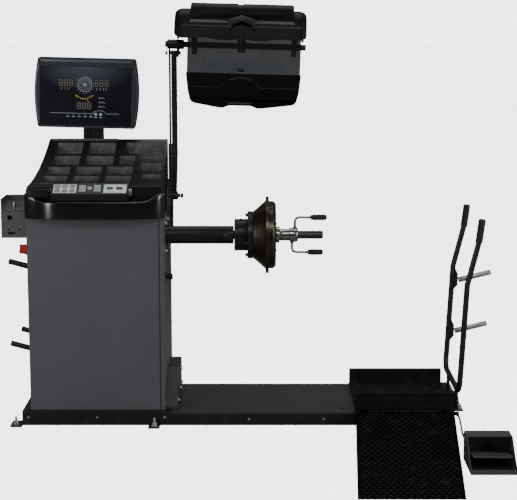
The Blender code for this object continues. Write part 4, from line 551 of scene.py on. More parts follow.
marked = bmesh.new()
marked.from_mesh(tray.data)
wall_light_layer = marked.faces.layers.float.new("well")
for face in marked.faces:
    middle = face.calc_center_median()
    inside = tray_low.x + 0.02 < middle.x < tray_high.x - 0.008 and -0.125 < middle.y < 0.252
    under_deck = deck_z(middle.y) - middle.z
    if inside and 0.0025 < under_deck < 0.055 and face.normal.z > -0.2:
        # Painted light by facing: forward walls brightest, floors dimmer, side walls in painted shade.
        face[wall_light_layer] = 1.0 if face.normal.y < -0.35 else 0.34 if face.normal.z > 0.5 else 0.16
marked.to_mesh(tray.data)
marked.free()
slot_y = 0.2592
back_slot = block((-0.606, -0.002, -0.0012), (-0.318, 0.009, 0.0052), 0.0012, 2)
back_slot.transform(Matrix.Translation((0, slot_y, deck_z(slot_y))) @ Matrix.Rotation(
    atan2(deck_slope + 2 * deck_curve * (slot_y - tray_front_y), 1), 4, "X"))
finished("tray_back_ledge", back_slot, "base", moulded(
    "worn grey tray ledge", (0.15, 0.15, 0.153), 0.42))

# Fascia: a bowed strip in high-gloss black plastic under the tray.
# Its lip dips between raised, rounded ends.
gloss_moulding = Finish("high gloss black moulding", 0.1)
wipe = gloss_moulding.band(gloss_moulding.noise(0.05, 5.0, rough=0.6), 0.45, 0.8)
gloss_tone = gloss_moulding.blend(wipe, (0.006, 0.0064, 0.0072), (0.013, 0.0135, 0.0145))
gloss_moulding.set("Base Color", gloss_tone)
gloss_moulding.set("Roughness", wipe * 0.1 + 0.14)
gloss_moulding.bump(gloss_moulding.noise(0.02, 2.0), 0.0001)
gloss_moulding.shader.inputs["Coat Weight"].default_value = 0.8
gloss_moulding.shader.inputs["Coat Roughness"].default_value = 0.08
fascia_low, fascia_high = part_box("front_fascia")
fascia_middle, fascia_half = (fascia_low.x + fascia_high.x) / 2, (fascia_high.x - fascia_low.x) / 2


def skinned(shape, rows, closed=False):
    """Faces between following rows of corners; closed rows run round."""
    for lower, upper in zip(rows, rows[1:]):
        for step in range(len(lower) if closed else len(lower) - 1):
            after = (step + 1) % len(lower)
            shape.faces.new((lower[step], lower[after], upper[after], upper[step]))


strip = bmesh.new()
columns = []
fascia_steps, fascia_bow, lip_dip, end_width = 120, 0.048, 0.032, 0.09
for step in range(fascia_steps + 1):
    across = cos(pi * step / fascia_steps)
    x = fascia_middle + fascia_half * across
    y = fascia_high.y - 0.004 - fascia_bow * (1 - across ** 4)
    near_end = min(1.0, fascia_half * (1 - abs(across)) / end_width)
    top_z = fascia_high.z - lip_dip * eased(near_end)
    inward = Vector((fascia_middle - x, 0.3, 0)).normalized()
    column = [(0, fascia_low.z), (-0.0002, fascia_low.z + 0.0015)]
    column += [(-0.0002, fascia_low.z + (top_z - 0.006 - fascia_low.z) * share / 6) for share in range(1, 7)]
    column += [(0.0004, top_z - 0.003), (0.0016, top_z - 0.001), (0.0036, top_z)]
    points = [strip.verts.new((x + inward.x * inset, min(y + max(0.0, inset), fascia_high.y - 0.0005), z))
              for inset, z in column]
    points += [strip.verts.new((x, fascia_high.y, top_z)), strip.verts.new((x, fascia_high.y, fascia_low.z))]
    columns.append(points)
skinned(strip, columns, closed=True)
strip.faces.new(columns[0][::-1])
strip.faces.new(columns[-1])
bmesh.ops.recalc_face_normals(strip, faces=strip.faces)
finished("fascia_strip", strip, "base", gloss_moulding, 50, stands_for="front_fascia")

# Ear of the tray's skirt: the piece at the front left holds pens and cone keys behind a low wall.
ear = [
    block((-0.6495, -0.1875, 0.955), (-0.556, -0.1527, 0.99), 0.004, 3),
    block((-0.6495, -0.174, 0.988), (-0.556, -0.1527, 0.996), 0.002, 2),
]
finished("tray_front_block", ear, "base", black_moulding)

# Keypad: a black housing with a white film at each end, six round keys, two banks and a round key.
softened("keypad_housing", 0.0016, black_moulding, segments=3, shortest=0.004)
pad_front_y, pad_front_z, pad_run, pad_rise = -0.19, 0.97, 0.0637, 0.0375
pad_slope = atan2(pad_rise, pad_run)
pad_face = hypot(pad_rise, pad_run)
pad_frame = Matrix.Translation((0, pad_front_y, pad_front_z)) @ Matrix.Rotation(pad_slope, 4, "X")
pad_out = pad_frame.to_3x3() @ Vector((0, 0, 1))


def on_pad(shape):
    """A shape laid out flat in the keypad's own plane, put on its slope."""
    shape.transform(pad_frame)
    return shape


film_near, film_far, key_near, key_far = 0.008, 0.064, 0.03, 0.047
film_fields = [(left, film_near, right, film_far) for left, right in (
    (-0.541, -0.447), (-0.337, -0.324), (-0.3, -0.286), (-0.262, -0.2445))]
for left, right in ((-0.324, -0.3), (-0.286, -0.262)):
    film_fields += [(left, film_near, right, key_near), (left, key_far, right, film_far)]
films = [on_pad(block((left, near, -0.0002), (right, far, 0.0009), 0.0004, 2))
         for left, near, right, far in film_fields]
finished("keypad_films", films, "base", label_film)

# Membrane keys: six round dimples in the left film, each with a dark ring and a minus or plus mark.
membrane, rims, ticks = [], [], []
for column in range(3):
    for row in range(2):
        x, y = -0.524 + column * 0.03, 0.022 + row * 0.027
        spot = pad_frame @ Vector((x, y, 0.0008))
        membrane.append(lathed([(0, 0.0078), (0.0007, 0.0076), (0.001, 0.0068), (0.0006, 0.0058),
                                (0.0006, 0)], spot, pad_out, 32))
        rims.append(lathed([(-0.0003, 0.0076), (-0.0003, 0.0112), (0.0007, 0.011), (0.0009, 0.0078)], spot,
                           pad_out, 32, ring=True))
        for wide, tall in ((0.003, 0.0007), (0.0007, 0.003))[:2 if column else 1]:
            ticks.append(on_pad(block((x - wide, y - tall, 0.0012), (x + wide, y + tall, 0.0017), 0.0002,
                                      1)))
finished("membrane_keys", membrane, "base", key_moulding)
finished("membrane_rims", rims, "base", slate_moulding)
finished("membrane_marks", ticks, "base", slate_moulding)


# Key banks: each bank is three oblong caps on one carrier, so the carrier is what presses.
def key_caps(name, node, body, columns, rows, finish):
    """Caps with dished tops on a thin carrier, in the keypad's plane."""
    local = [pad_frame.inverted() @ Vector(corner.co) for corner in frame["nodes"][node].data.vertices]
    x0, x1 = min(p.x for p in local), max(p.x for p in local)
    y0, y1 = min(p.y for p in local), max(p.y for p in local)
    z0, z1 = min(p.z for p in local), max(p.z for p in local)
    rim = 0.0017
    seat = z0 + 0.0014
    caps = [block((x0 + rim, y0 + rim, seat), (x1 - rim, y1 - rim, seat + 0.0016), 0.0004)]
    for row in range(rows):
        for column in range(columns):
            left = x0 + (x1 - x0) * column / columns + 0.0006
            right = x0 + (x1 - x0) * (column + 1) / columns - 0.0006
            near = y0 + (y1 - y0) * row / rows + 0.0016
            far = y0 + (y1 - y0) * (row + 1) / rows - 0.0016
            cap = block((left, near, seat + 0.0012), (right, far, z1), 0.0014, 3)
            top = [face for face in cap.faces if face.normal.z > 0.99]
            bmesh.ops.inset_region(cap, faces=top, thickness=0.0016, depth=-0.0004)
            caps.append(cap)
    finished(name, on_pad(joined(*caps)), body, finish, stands_for=node)


key_caps("keys_left", "key_bank_left", "key_left", 1, 3, key_moulding)
key_caps("keys_right", "key_bank_right", "key_right", 1, 3, key_moulding)
key_caps("key_green_cap", "key_start", "key_go", 1, 1, green_key)
key_caps("key_red_cap", "key_stop", "key_halt", 1, 1, red_key)
select_seat = pad_frame @ Vector((-0.393, pad_face * 0.52, -0.004))
round_key = lathed([(0, 0), (0, 0.0105), (0.0052, 0.0105), (0.0062, 0.0098), (0.0064, 0.0086),
                    (0.006, 0.007), (0.0056, 0)], select_seat, pad_out, 48)
finished("key_round_cap", round_key, "key_round", key_moulding, stands_for="key_select")

# Steel stays at both ends of the keypad hold its lid down: short bright rods with round ends.
stays = []
for x in (-0.5525, -0.2345, -0.227):
    stays.append(lathed([(0, 0), (0.0006, 0.0018), (0.003, 0.0027), (0.03, 0.0027), (0.0325, 0.0018),
                         (0.033, 0)], (x, -0.16, 0.957), (0, 0.05, 1), 20))
finished("keypad_stays", stays, "base", bright_steel)

# Mast: black folded post in two halves that stand side by side, with a collar and bolts at its foot.
softened("display_mast", 0.0014, black_coat)
mast_low, mast_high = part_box("display_mast")
mast_bolts = [hex_bolt((x, mast_low.y, z), (0, -1, 0), 0.01, 0.005)
              for x in (mast_low.x + 0.015, mast_high.x - 0.018) for z in (1.1, 1.172)]
finished("mast_bolts", mast_bolts, "base", black_oxide)

# Display housing: slate plastic shell with bowed sides, a pale reveal along its top and a deep back.
softened("display_housing", 0.0022, slate_moulding, segments=3, steep=50, shortest=0.012, merge=0)
display_lean = radians(1.4)
display_pivot = Vector((-0.447, 0, 1.35))


def on_display(shape):
    """A shape laid out upright round the display's middle, leaned as the display leans."""
    shape.transform(Matrix.Translation(display_pivot) @ Matrix.Rotation(display_lean, 4, "Y"))
    return shape


case_front = 0.25
back_shell = block((-0.15, 0.2945, -0.1), (0.15, 0.316, 0.09), 0.012, 4)
ribs = [block((-0.13, 0.3155, -0.08 + 0.018 * row), (0.13, 0.3185, -0.074 + 0.018 * row), 0.001, 1)
        for row in range(9)]
finished("display_back_shell", on_display(joined(back_shell, *ribs)), "display",
         slate_moulding)
reveal = block((-0.196, case_front - 0.0022, 0.1305), (0.196, case_front + 0.001, 0.1405), 0.0012, 2)
pale_slate = moulded("pale slate reveal", (0.125, 0.15, 0.165), 0.33)
finished("display_top_reveal", on_display(reveal), "display", pale_slate)
cheeks = []
for side in (-1, 1):
    bow = bmesh.new()
    spots = [bow.verts.new((side * (0.2075 + 0.0125 * (1 - (row / 6) ** 2)), case_front - 0.0005,
                            row * 0.0195))
             for row in range(-6, 7)]
    line = [bow.edges.new(pair) for pair in zip(spots, spots[1:])]
    pushed = bmesh.ops.extrude_edge_only(bow, edges=line)
    moved = [item for item in pushed["geom"] if isinstance(item, bmesh.types.BMVert)]
    bmesh.ops.translate(bow, verts=moved, vec=(side * -0.0045, -0.0006, 0))
    bmesh.ops.solidify(bow, geom=bow.faces[:], thickness=0.0012)
    bmesh.ops.recalc_face_normals(bow, faces=bow.faces)
    cheeks.append(bow)
finished("display_cheek_lines", on_display(joined(*cheeks)), "display", pale_slate)

# Screen: dark navy film under a glossy pane; its lamps, digits and symbols are printed or lit shapes.
screen_film = Finish("navy screen film", 0.3)
glow = screen_film.node("ShaderNodeTexGradient", {"gradient_type": "SPHERICAL"}, {"Vector": screen_film.node(
    "ShaderNodeMapping", None, {"Vector": screen_film.place(), "Location": (0.447 * 4.6, 0, -1.462 * 9.5),
                                "Scale": (4.6, 0, 9.5)})})
smear = screen_film.band(screen_film.noise(0.06, 4.0), 0.42, 0.75)
screen_film.set("Base Color", screen_film.blend(glow, (0.0075, 0.0085, 0.0165), (0.11, 0.125, 0.165)))
screen_film.set("Roughness", smear * 0.1 + 0.36)
screen_film.sheen(0.26)
softened("display_screen", 0.001, screen_film, segments=2, merge=0)


def printed(name, colour, roughness=0.4, glow_strength=0.0):
    """Ink or a lit segment on the screen."""
    ink = Finish(name, roughness)
    speck = ink.noise(0.004, 3.0)
    ink.set("Base Color", ink.blend(speck, tint(colour, 0.85), tint(colour, 1.1)))
    if glow_strength:
        ink.shader.inputs["Emission Color"].default_value = (*colour, 1.0)
        ink.shader.inputs["Emission Strength"].default_value = glow_strength
    return ink


white_ink = printed("white ink", (0.62, 0.66, 0.72))
segment_ink = printed("unlit segments", (0.3, 0.27, 0.235), 0.3)
window_ink = printed("digit window", (0.06, 0.052, 0.05), 0.25)
yellow_ink = printed("yellow ink", (0.62, 0.5, 0.08))
print_front = case_front + 0.0003


def bar_on_screen(x0, z0, x1, z1, width, out=0.0009):
    """A flat printed bar from one spot to another, with square ends."""
    length = hypot(x1 - x0, z1 - z0)
    strip = block((-width / 2, 0, -width / 2), (length + width / 2, out, width / 2), 0.0001, 1)
    turn = Matrix.Rotation(-atan2(z1 - z0, x1 - x0), 4, "Y")
    strip.transform(Matrix.Translation((x0, print_front - out, z0)) @ turn)
    return strip


def ring_on_screen(x, z, radius, width, out=0.0009, steps=40):
    return lathed([(0, radius - width / 2), (0, radius + width / 2), (out, radius + width / 2),
                   (out, radius - width / 2)], (x, print_front, z), (0, -1, 0), steps, ring=True)


def dot_on_screen(x, z, radius, out=0.0009):
    return lathed([(0, radius), (out, radius * 0.96), (out, 0)], (x, print_front, z), (0, -1, 0), 16)


def digit_bars(x, z, wide, tall):
    """The seven segments of one digit."""
    half, mid = wide / 2, tall / 2
    thick = wide * 0.17
    trim = thick * 0.75
    ends = [(-half + trim, tall / 2, half - trim, tall / 2), (-half + trim, 0, half - trim, 0),
            (-half + trim, -mid, half - trim, -mid)]
    for side in (-half, half):
        ends += [(side, trim, side, mid - trim), (side, -mid + trim, side, -trim)]
    return [bar_on_screen(x + x0, z + z0, x + x1, z + z1, thick, 0.0013) for x0, z0, x1, z1 in ends]


# Digit groups: three seven-segment digits at each side and three below, behind dark windows.
windows, segments = [], []
for middle, height in ((-0.088, 0.0425), (0.064, 0.0425), (-0.01, -0.054)):
    windows.append(block((middle - 0.033, print_front - 0.0006, height - 0.0165),
                         (middle + 0.033, print_front, height + 0.0165), 0.0003, 1))
    for number in (-1, 0, 1):
        segments += digit_bars(middle + number * 0.0215, height, 0.0125, 0.0245)
finished("digit_windows", on_display(joined(*windows)), "display", window_ink)
finished("digit_segments", on_display(joined(*segments)), "display", segment_ink)

# Wheel picture: rim circle, hub, twelve spokes and a ring of position lamps around it.
wheel_x, wheel_z = -0.007, 0.0355
wheel = [ring_on_screen(wheel_x, wheel_z, 0.0295, 0.0022), ring_on_screen(wheel_x, wheel_z, 0.0225, 0.001),
         dot_on_screen(wheel_x, wheel_z, 0.0062)]
for spoke in range(12):
    turn = 2 * pi * spoke / 12
    wheel.append(bar_on_screen(wheel_x + 0.009 * cos(turn), wheel_z + 0.009 * sin(turn),
                               wheel_x + 0.0215 * cos(turn), wheel_z + 0.0215 * sin(turn), 0.0013))
for lamp in range(16):
    turn = 2 * pi * (lamp + 0.5) / 16
    wheel.append(dot_on_screen(wheel_x + 0.0375 * cos(turn), wheel_z + 0.0375 * sin(turn), 0.0017))
finished("screen_wheel", on_display(joined(*wheel)), "display", white_ink)

# Rim profile: the yellow section of a rim with its two flanges and the disc, between the digits.
profile = [(-0.046, -0.01), (-0.042, -0.018), (-0.03, -0.017), (-0.024, -0.024), (0.001, -0.024),
           (0.01, -0.017), (0.021, -0.017), (0.027, -0.009)]
rim_bars = [bar_on_screen(x0, z0, x1, z1, 0.0042) for (x0, z0), (x1, z1) in zip(profile, profile[1:])]
rim_bars += [bar_on_screen(0.003, -0.024, 0.0075, -0.038, 0.0032),
             bar_on_screen(-0.044, -0.009, -0.036, -0.015, 0.0034),
             bar_on_screen(0.026, -0.008, 0.017, -0.015, 0.0034)]
finished("screen_rim_profile", on_display(joined(*rim_bars)), "display", yellow_ink)

# Small symbols: pointers under the digits, three programme signs, the line with its arch and the keys.
signs = []
for middle in (-0.107, -0.092, -0.077, 0.044, 0.059, 0.073, 0.085):
    signs += [bar_on_screen(middle - 0.003, 0.02, middle + 0.003, 0.02, 0.0012),
              bar_on_screen(middle, 0.02, middle, 0.013, 0.0014)]
for row in range(3):
    z = -0.02 - row * 0.0185
    signs += [dot_on_screen(0.056, z, 0.003), bar_on_screen(0.062, z, 0.07, z - 0.001 * row, 0.0016),
              bar_on_screen(0.07, z + 0.0022, 0.078, z - 0.0028, 0.0018)]
line_z = -0.087
arch = [(0.027 + 0.0285 * (1 - cos(pi * step / 12)), line_z + 0.0125 * sin(pi * step / 12))
        for step in range(13)]
signs += [bar_on_screen(x0, z0, x1, z1, 0.0018) for (x0, z0), (x1, z1) in zip(arch, arch[1:])]
signs += [bar_on_screen(-0.157, line_z, 0.027, line_z, 0.0016),
          bar_on_screen(0.084, line_z, 0.14, line_z, 0.0016)]
for number in range(5):
    x = -0.08 + number * 0.0246
    signs += [bar_on_screen(x - 0.0055, -0.101, x + 0.0055, -0.101, 0.003), dot_on_screen(x, -0.094, 0.0015)]
for x in (0.04, 0.061):
    signs += [dot_on_screen(x, -0.09, 0.0066), bar_on_screen(x - 0.0055, -0.103, x + 0.0045, -0.103, 0.0032)]
finished("screen_signs", on_display(joined(*signs)), "display", white_ink)

# Holder box: folded black sheet hung on the cabinet's left wall, open below, with holes for cone keys.
softened("tool_holder_box", 0.0009, holder_coat)
holder_low, holder_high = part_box("tool_holder_box")
fold_line = block((holder_low.x + 0.004, holder_low.y - 0.0009, 0.8765),
                  (holder_high.x - 0.002, holder_low.y + 0.0006, 0.879), 0.0004)
finished("holder_fold_wear", fold_line, "base", light_coat)
holder_bolts = [dome_screw((holder_low.x + 0.03 + 0.045 * n, holder_low.y + 0.0002, 0.8), (0, -1, 0), 0.008)
                for n in range(2)]
hung_key = [
    lathed([(0, 0), (0, 0.0052), (0.05, 0.0052), (0.052, 0.0075), (0.066, 0.0075), (0.068, 0.006),
            (0.068, 0)], (holder_low.x + 0.052, 0.015, 0.842), (0, 0, 1), 24),
]
finished("holder_screws", holder_bolts, "base", black_oxide)
finished("hung_cone_key", hung_key, "base", bright_steel)
# Painted shade: a black sheet behind the slot, so the slot shows dark instead of the pale floor through the
# open bottom.
slot_shade = block((holder_low.x + 0.006, holder_low.y + 0.01, holder_low.z + 0.002),
                   (holder_high.x - 0.003, holder_low.y + 0.014, 0.83), 0.001)
finished("holder_slot_shade_sheet", slot_shade, "base", black_coat)

# Main switch: orange plate with a red knob; a printed ring of ticks, four screws and a pointer groove.
softened("switch_plate", 0.0022, orange_moulding, segments=3)
plate_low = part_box("switch_plate")[0]
switch_spot = Vector((plate_low.x, 0, 0.714))
tick_ring = [lathed([(0, 0.0245), (0, 0.0262), (0.0006, 0.0262), (0.0006, 0.0245)], switch_spot, (-1, 0, 0),
                    48, ring=True)]
finished("switch_ring", tick_ring, "base", black_moulding)
switch_screws = [dome_screw(switch_spot + Vector((0, y, z)), (-1, 0, 0), 0.006)
                 for y in (-0.0235, 0.0235) for z in (-0.0235, 0.0235)]
finished("switch_screws", switch_screws, "base", black_oxide)
softened("switch_knob", 0.0016, red_moulding, segments=3, steep=35, shortest=0.003)
knob_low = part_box("switch_knob")[0]
pointer = block((knob_low.x - 0.0006, -0.0012, 0.722), (knob_low.x + 0.0008, 0.0012, 0.7325), 0.0003)
finished("switch_pointer", pointer, "main_switch", label_film)

# Peg rails: black strips with bent-up pegs for flanges; each strip is held by two bolts.
for rail in ("front", "rear"):
    softened("peg_rail_" + rail, 0.0011, black_coat, steep=35)
peg_bolts = []
for rail, y in (("front", 0.0), ("rear", 0.28)):
    rail_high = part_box("peg_rail_" + rail)[1]
    for z in (0.345, 0.46, 0.575):
        peg_bolts.append(dome_screw((rail_high.x - 0.005, y, z), (-1, 0, 0), 0.012))
finished("peg_rail_bolts", peg_bolts, "base", black_oxide)

# Spindle: black coated bearing tube with a clamped plate; the bearings' shields show at its ends.
axis_z = 0.775
spindle_centre = (0, 0, axis_z)
along = (1, 0, 0)
tube_low, tube_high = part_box("spindle_housing")
tube_shell = [
    lathed([(tube_low.x, 0.029), (tube_low.x, 0.036), (tube_low.x + 0.0015, 0.0375),
            (tube_high.x - 0.044, 0.0375), (tube_high.x - 0.0425, 0.0366), (tube_high.x - 0.0405, 0.0366),
            (tube_high.x - 0.039, 0.0375), (tube_high.x - 0.0015, 0.0375), (tube_high.x, 0.036),
            (tube_high.x, 0.029), (tube_high.x - 0.02, 0.029), (tube_high.x - 0.02, 0.025),
            (tube_low.x + 0.02, 0.025), (tube_low.x + 0.02, 0.029)], spindle_centre, along, 96, ring=True),
    block((-0.1115, -0.075, axis_z - 0.075), (-0.1015, 0.075, axis_z + 0.075), 0.0015),
]
finished("spindle_tube", tube_shell, "base", black_coat, stands_for="spindle_housing")
housing_bolts = [hex_bolt((-0.0978, y, axis_z + z), (1, 0, 0), 0.016, 0.008)
                 for y in (-0.058, 0.058) for z in (-0.058, 0.058)]
finished("spindle_plate_bolts", housing_bolts, "base", zinc_plate)
for bearing in ("bearing_inner", "bearing_outer"):
    ring_low, ring_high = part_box(bearing)
    race = lathed([(ring_low.x, 0.0185), (ring_low.x, 0.0225), (ring_low.x + 0.001, 0.0228),
                   (ring_low.x + 0.001, 0.025), (ring_low.x, 0.0253), (ring_low.x, 0.028),
                   (ring_low.x + 0.0008, 0.0285), (ring_high.x - 0.0008, 0.0285), (ring_high.x, 0.028),
                   (ring_high.x, 0.0253), (ring_high.x - 0.001, 0.025), (ring_high.x - 0.001, 0.0228),
                   (ring_high.x, 0.0225), (ring_high.x, 0.0185)], spindle_centre, along, 64, ring=True)
    finished(bearing + "_races", race, "base", bright_steel, stands_for=bearing)

# Main shaft: ground steel with a coarse trapezoidal thread on its free end, cut as one long helix.
shaft_low, shaft_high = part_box("main_shaft")
thread_start, pitch, tooth = 0.365, 0.006, 0.0016
shaft_radius = 0.018
core = [(shaft_low.x, 0), (shaft_low.x, 0.016), (shaft_low.x + 0.002, shaft_radius),
        (thread_start - 0.004, shaft_radius), (thread_start, shaft_radius - tooth),
        (shaft_high.x - 0.004, shaft_radius - tooth), (shaft_high.x - 0.001, shaft_radius - tooth - 0.001),
        (shaft_high.x, shaft_radius - tooth - 0.004), (shaft_high.x - 0.006, 0.0045),
        (shaft_high.x - 0.0085, 0.003), (shaft_high.x - 0.0085, 0)]
helix = bmesh.new()
crest = [helix.verts.new(place) for place in (
    (0, 0, shaft_radius - tooth - 0.0004), (pitch * 0.14, 0, shaft_radius - 0.0001),
    (pitch * 0.52, 0, shaft_radius - 0.0001),
    (pitch * 0.66, 0, shaft_radius - tooth - 0.0004))]
cap = helix.faces.new(crest)
turns = int((shaft_high.x - 0.012 - thread_start) / pitch)
bmesh.ops.spin(helix, geom=[cap], cent=(0, 0, 0), axis=along, angle=2 * pi * turns, steps=turns * 32,
               dvec=(pitch / 32, 0, 0))
bmesh.ops.recalc_face_normals(helix, faces=helix.faces)
helix.transform(Matrix.Translation((thread_start + 0.001, 0, axis_z)))
shaft = [lathed(core, spindle_centre, along, 64), helix]
finished("shaft_with_thread", shaft, "spindle", shaft_steel, 45, stands_for="main_shaft")

# Mounting flange: black collar shrunk on the shaft and a dark disc bolted to it with six screws.
collar = lathed([(0.189, 0.0184), (0.189, 0.0645), (0.1905, 0.0665), (0.2035, 0.0665), (0.2045, 0.0655),
                 (0.206, 0.0655), (0.207, 0.0665), (0.242, 0.0665), (0.2445, 0.0655), (0.2445, 0.0965),
                 (0.246, 0.099), (0.265, 0.099), (0.2666, 0.0975), (0.2666, 0.0184)], spindle_centre, along,
                 128, ring=True)
finished("flange_collar", collar, "spindle", black_coat, stands_for="mounting_flange")
collar_bolts = []
for number in range(6):
    turn = 2 * pi * (number + 0.25) / 6
    spot = Vector((0.2448, 0.0835 * cos(turn), axis_z + 0.0835 * sin(turn)))
    collar_bolts.append(hex_bolt(spot, (-1, 0, 0), 0.013, 0.008, 1.3))
collar_bolts.append(dome_screw((0.216, 0, axis_z + 0.066), (0, 0, 1), 0.01))
collar_bolts.append(dome_screw((0.216, -0.066, axis_z), (0, -1, 0), 0.01))
finished("flange_collar_bolts", collar_bolts, "spindle", black_oxide)

# Centring flange: a turned cup of blackened steel, wide rim and bevelled boss, oiled and ring-marked.
outer_curve = []
for step in range(17):
    share = step / 16
    outer_curve.append((0.2669 + (0.3197 - 0.2669) * share,
                        0.099 + (0.1445 - 0.099) * share ** 1.12 - 0.0004))
cup = [(0.2669, 0.0184), (0.2669, 0.0975)] + outer_curve[1:-1] + [
    (0.3192, 0.144), (0.3197, 0.146), (0.3197, 0.1598), (0.3208, 0.1609), (0.332, 0.1609), (0.3331, 0.1598),
    (0.3331, 0.1425), (0.334, 0.1412), (0.341, 0.1412), (0.3415, 0.14), (0.3425, 0.14), (0.343, 0.1412),
    (0.3505, 0.1412), (0.352, 0.1402), (0.3618, 0.1305), (0.3627, 0.129), (0.3627, 0.106), (0.36, 0.104),
    (0.36, 0.052), (0.3627, 0.05), (0.3627, 0.0184)]
finished("flange_cup", lathed(cup, spindle_centre, along, 160, ring=True), "spindle",
                        dark_steel, 25, stands_for="centring_flange")
face_screws = []
for number in range(4):
    turn = 2 * pi * (number + 0.5) / 4
    spot = Vector((0.3596, 0.078 * cos(turn), axis_z + 0.078 * sin(turn)))
    face_screws.append(dome_screw(spot, along, 0.016))
finished("flange_face_screws", face_screws, "spindle", black_oxide)

# Pressure sleeve and quick nut: chromed sleeve and knurled nut body with two cranks and their grips.
sleeve = lathed([(0.3631, 0.0187), (0.3631, 0.0325), (0.3645, 0.034), (0.376, 0.034), (0.3776, 0.0325),
                 (0.3776, 0.0255), (0.379, 0.0245), (0.39, 0.0245), (0.3906, 0.0238), (0.3916, 0.0238),
                 (0.3922, 0.0245), (0.4185, 0.0245), (0.4196, 0.0236), (0.4196, 0.0187)], spindle_centre,
                 along, 96, ring=True)
finished("nut_sleeve", sleeve, "nut", chrome_plate, stands_for="pressure_sleeve")


def bent_rod(corners, bend, diameter, sides=20):
    """A round rod that follows corners, each bent to a radius, with flat ends."""
    path = [Vector(corners[0])]
    for before, corner, after in zip(corners, corners[1:], corners[2:]):
        corner = Vector(corner)
        back = (Vector(before) - corner).normalized()
        ahead = (Vector(after) - corner).normalized()
        turn = pi - back.angle(ahead)
        reach = bend * sin(turn / 2) / cos(turn / 2)
        middle = corner + (back + ahead).normalized() * bend / cos(turn / 2)
        first = corner + back * reach - middle
        last = corner + ahead * reach - middle
        for step in range(13):
            path.append(middle + first.slerp(last, step / 12).normalized() * first.length)
    path.append(Vector(corners[-1]))
    holder = round_curve("rod line", path, diameter, max(2, sides // 4 - 1))
    line = holder.data
    shape = bmesh.new()
    made = bpy.data.meshes.new_from_object(holder)
    shape.from_mesh(made)
    bpy.data.objects.remove(holder)
    bpy.data.curves.remove(line)
    bpy.data.meshes.remove(made)
    bmesh.ops.remove_doubles(shape, verts=shape.verts, dist=1e-6)
    return shape


nut_body = lathed([(0.4199, 0.0187), (0.4199, 0.028), (0.4215, 0.0295), (0.43, 0.0295), (0.4306, 0.0285),
                   (0.433, 0.0285), (0.4336, 0.0295), (0.448, 0.0295), (0.453, 0.0275), (0.4547, 0.025),
                   (0.4547, 0.0187)], spindle_centre, along, 96, ring=True)


def bars_around(place, count, low, high, rounding):
    """Equal bars set round an axis that runs along X."""
    bars = [block(low, high, rounding, 1) for _ in range(count)]
    for number, bar in enumerate(bars):
        bar.transform(Matrix.Translation(place) @ Matrix.Rotation(2 * pi * number / count, 4, "X"))
    return bars


knurl = bars_around(spindle_centre, 30, (0.4345, -0.0012, 0.0286), (0.447, 0.0012, 0.0299), 0.0005)
cranks = []
crank_reach = 0.0735
for way, foot_x, reach_end in ((1, 0.442, 0.571), (-1, 0.43, 0.556)):
    reach = axis_z + way * crank_reach
    cranks.append(bent_rod([(foot_x, 0, axis_z + way * 0.024), (foot_x, 0, reach), (reach_end, 0, reach)],
                           0.018, 0.01))
    cranks.append(lathed([(0, 0.0085), (0.006, 0.0085), (0.0085, 0.0062), (0.0085, 0)],
                         (foot_x, 0, axis_z + way * 0.0275), (0, 0, way), 24))
    cranks.append(lathed([(0, 0), (0, 0.0072), (0.0025, 0.0078), (0.005, 0.0072), (0.005, 0)],
                         (reach_end - 0.0685, 0, reach), along, 24))
finished("nut_with_cranks", joined(nut_body, *knurl, *cranks), "nut", chrome_plate,
         stands_for="quick_nut")
for name, way in (("upper", 1), ("lower", -1)):
    grip_low, grip_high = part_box("crank_grip_" + name)
    span = grip_high.x - grip_low.x
    outline = [(0, 0.0056), (0, 0.0098), (0.0012, 0.0112)]
    outline += [(0.0035 + (span - 0.008) * step / 20, 0.0107 + 0.00155 * sin(pi * step / 20))
                for step in range(21)]
    outline += [(span - 0.0012, 0.0098), (span, 0.0075), (span, 0.0008), (span - 0.003, 0.0008),
                (span - 0.003, 0.0056)]
    grip_end = (grip_low.x, 0, axis_z + way * crank_reach)
    sleeve = lathed(outline, grip_end, along, 40, ring=True)
    ridges = bars_around(grip_end, 12, (0.008, -0.0008, 0.0108), (span - 0.01, 0.0008, 0.0122), 0.0004)
    finished(f"grip_{name}_sleeve", joined(sleeve, *ridges), "grip_" + name, black_rubber,
             stands_for="crank_grip_" + name)

# Drive inside the cabinet: grooved pulleys, ribbed belt and a finned motor on its foot.
pulley_low, pulley_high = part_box("spindle_pulley")
wheel_grooves = [(pulley_low.x, 0.0184), (pulley_low.x, 0.079)]
for groove in range(7):
    base_x = pulley_low.x + 0.003 + groove * 0.0027
    wheel_grooves += [(base_x, 0.0799), (base_x + 0.0013, 0.0785)]
wheel_grooves += [(pulley_high.x - 0.001, 0.0799), (pulley_high.x, 0.079), (pulley_high.x, 0.07),
                  (pulley_high.x - 0.008, 0.068), (pulley_high.x - 0.008, 0.033), (pulley_high.x, 0.03),
                  (pulley_high.x, 0.0184)]
finished("pulley_grooved", lathed(wheel_grooves, spindle_centre, along, 96, ring=True), "spindle",
                        bright_steel, 25, stands_for="spindle_pulley")
softened("motor_pulley", 0.0008, bright_steel, steep=50)
softened("drive_belt", 0.0008, black_rubber, steep=50)
softened("drive_motor", 0.0015, grey_coat, steep=50)
motor_low, motor_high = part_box("drive_motor")
motor_axis_z, fin_inset = 0.42, 0.022
fins = bars_around((0, 0, motor_axis_z), 28, (motor_low.x + fin_inset, -0.0012, 0.068),
                   (motor_high.x - fin_inset, 0.0012, 0.0699), 0.0004)
finished("motor_fins", fins, "base", grey_coat)

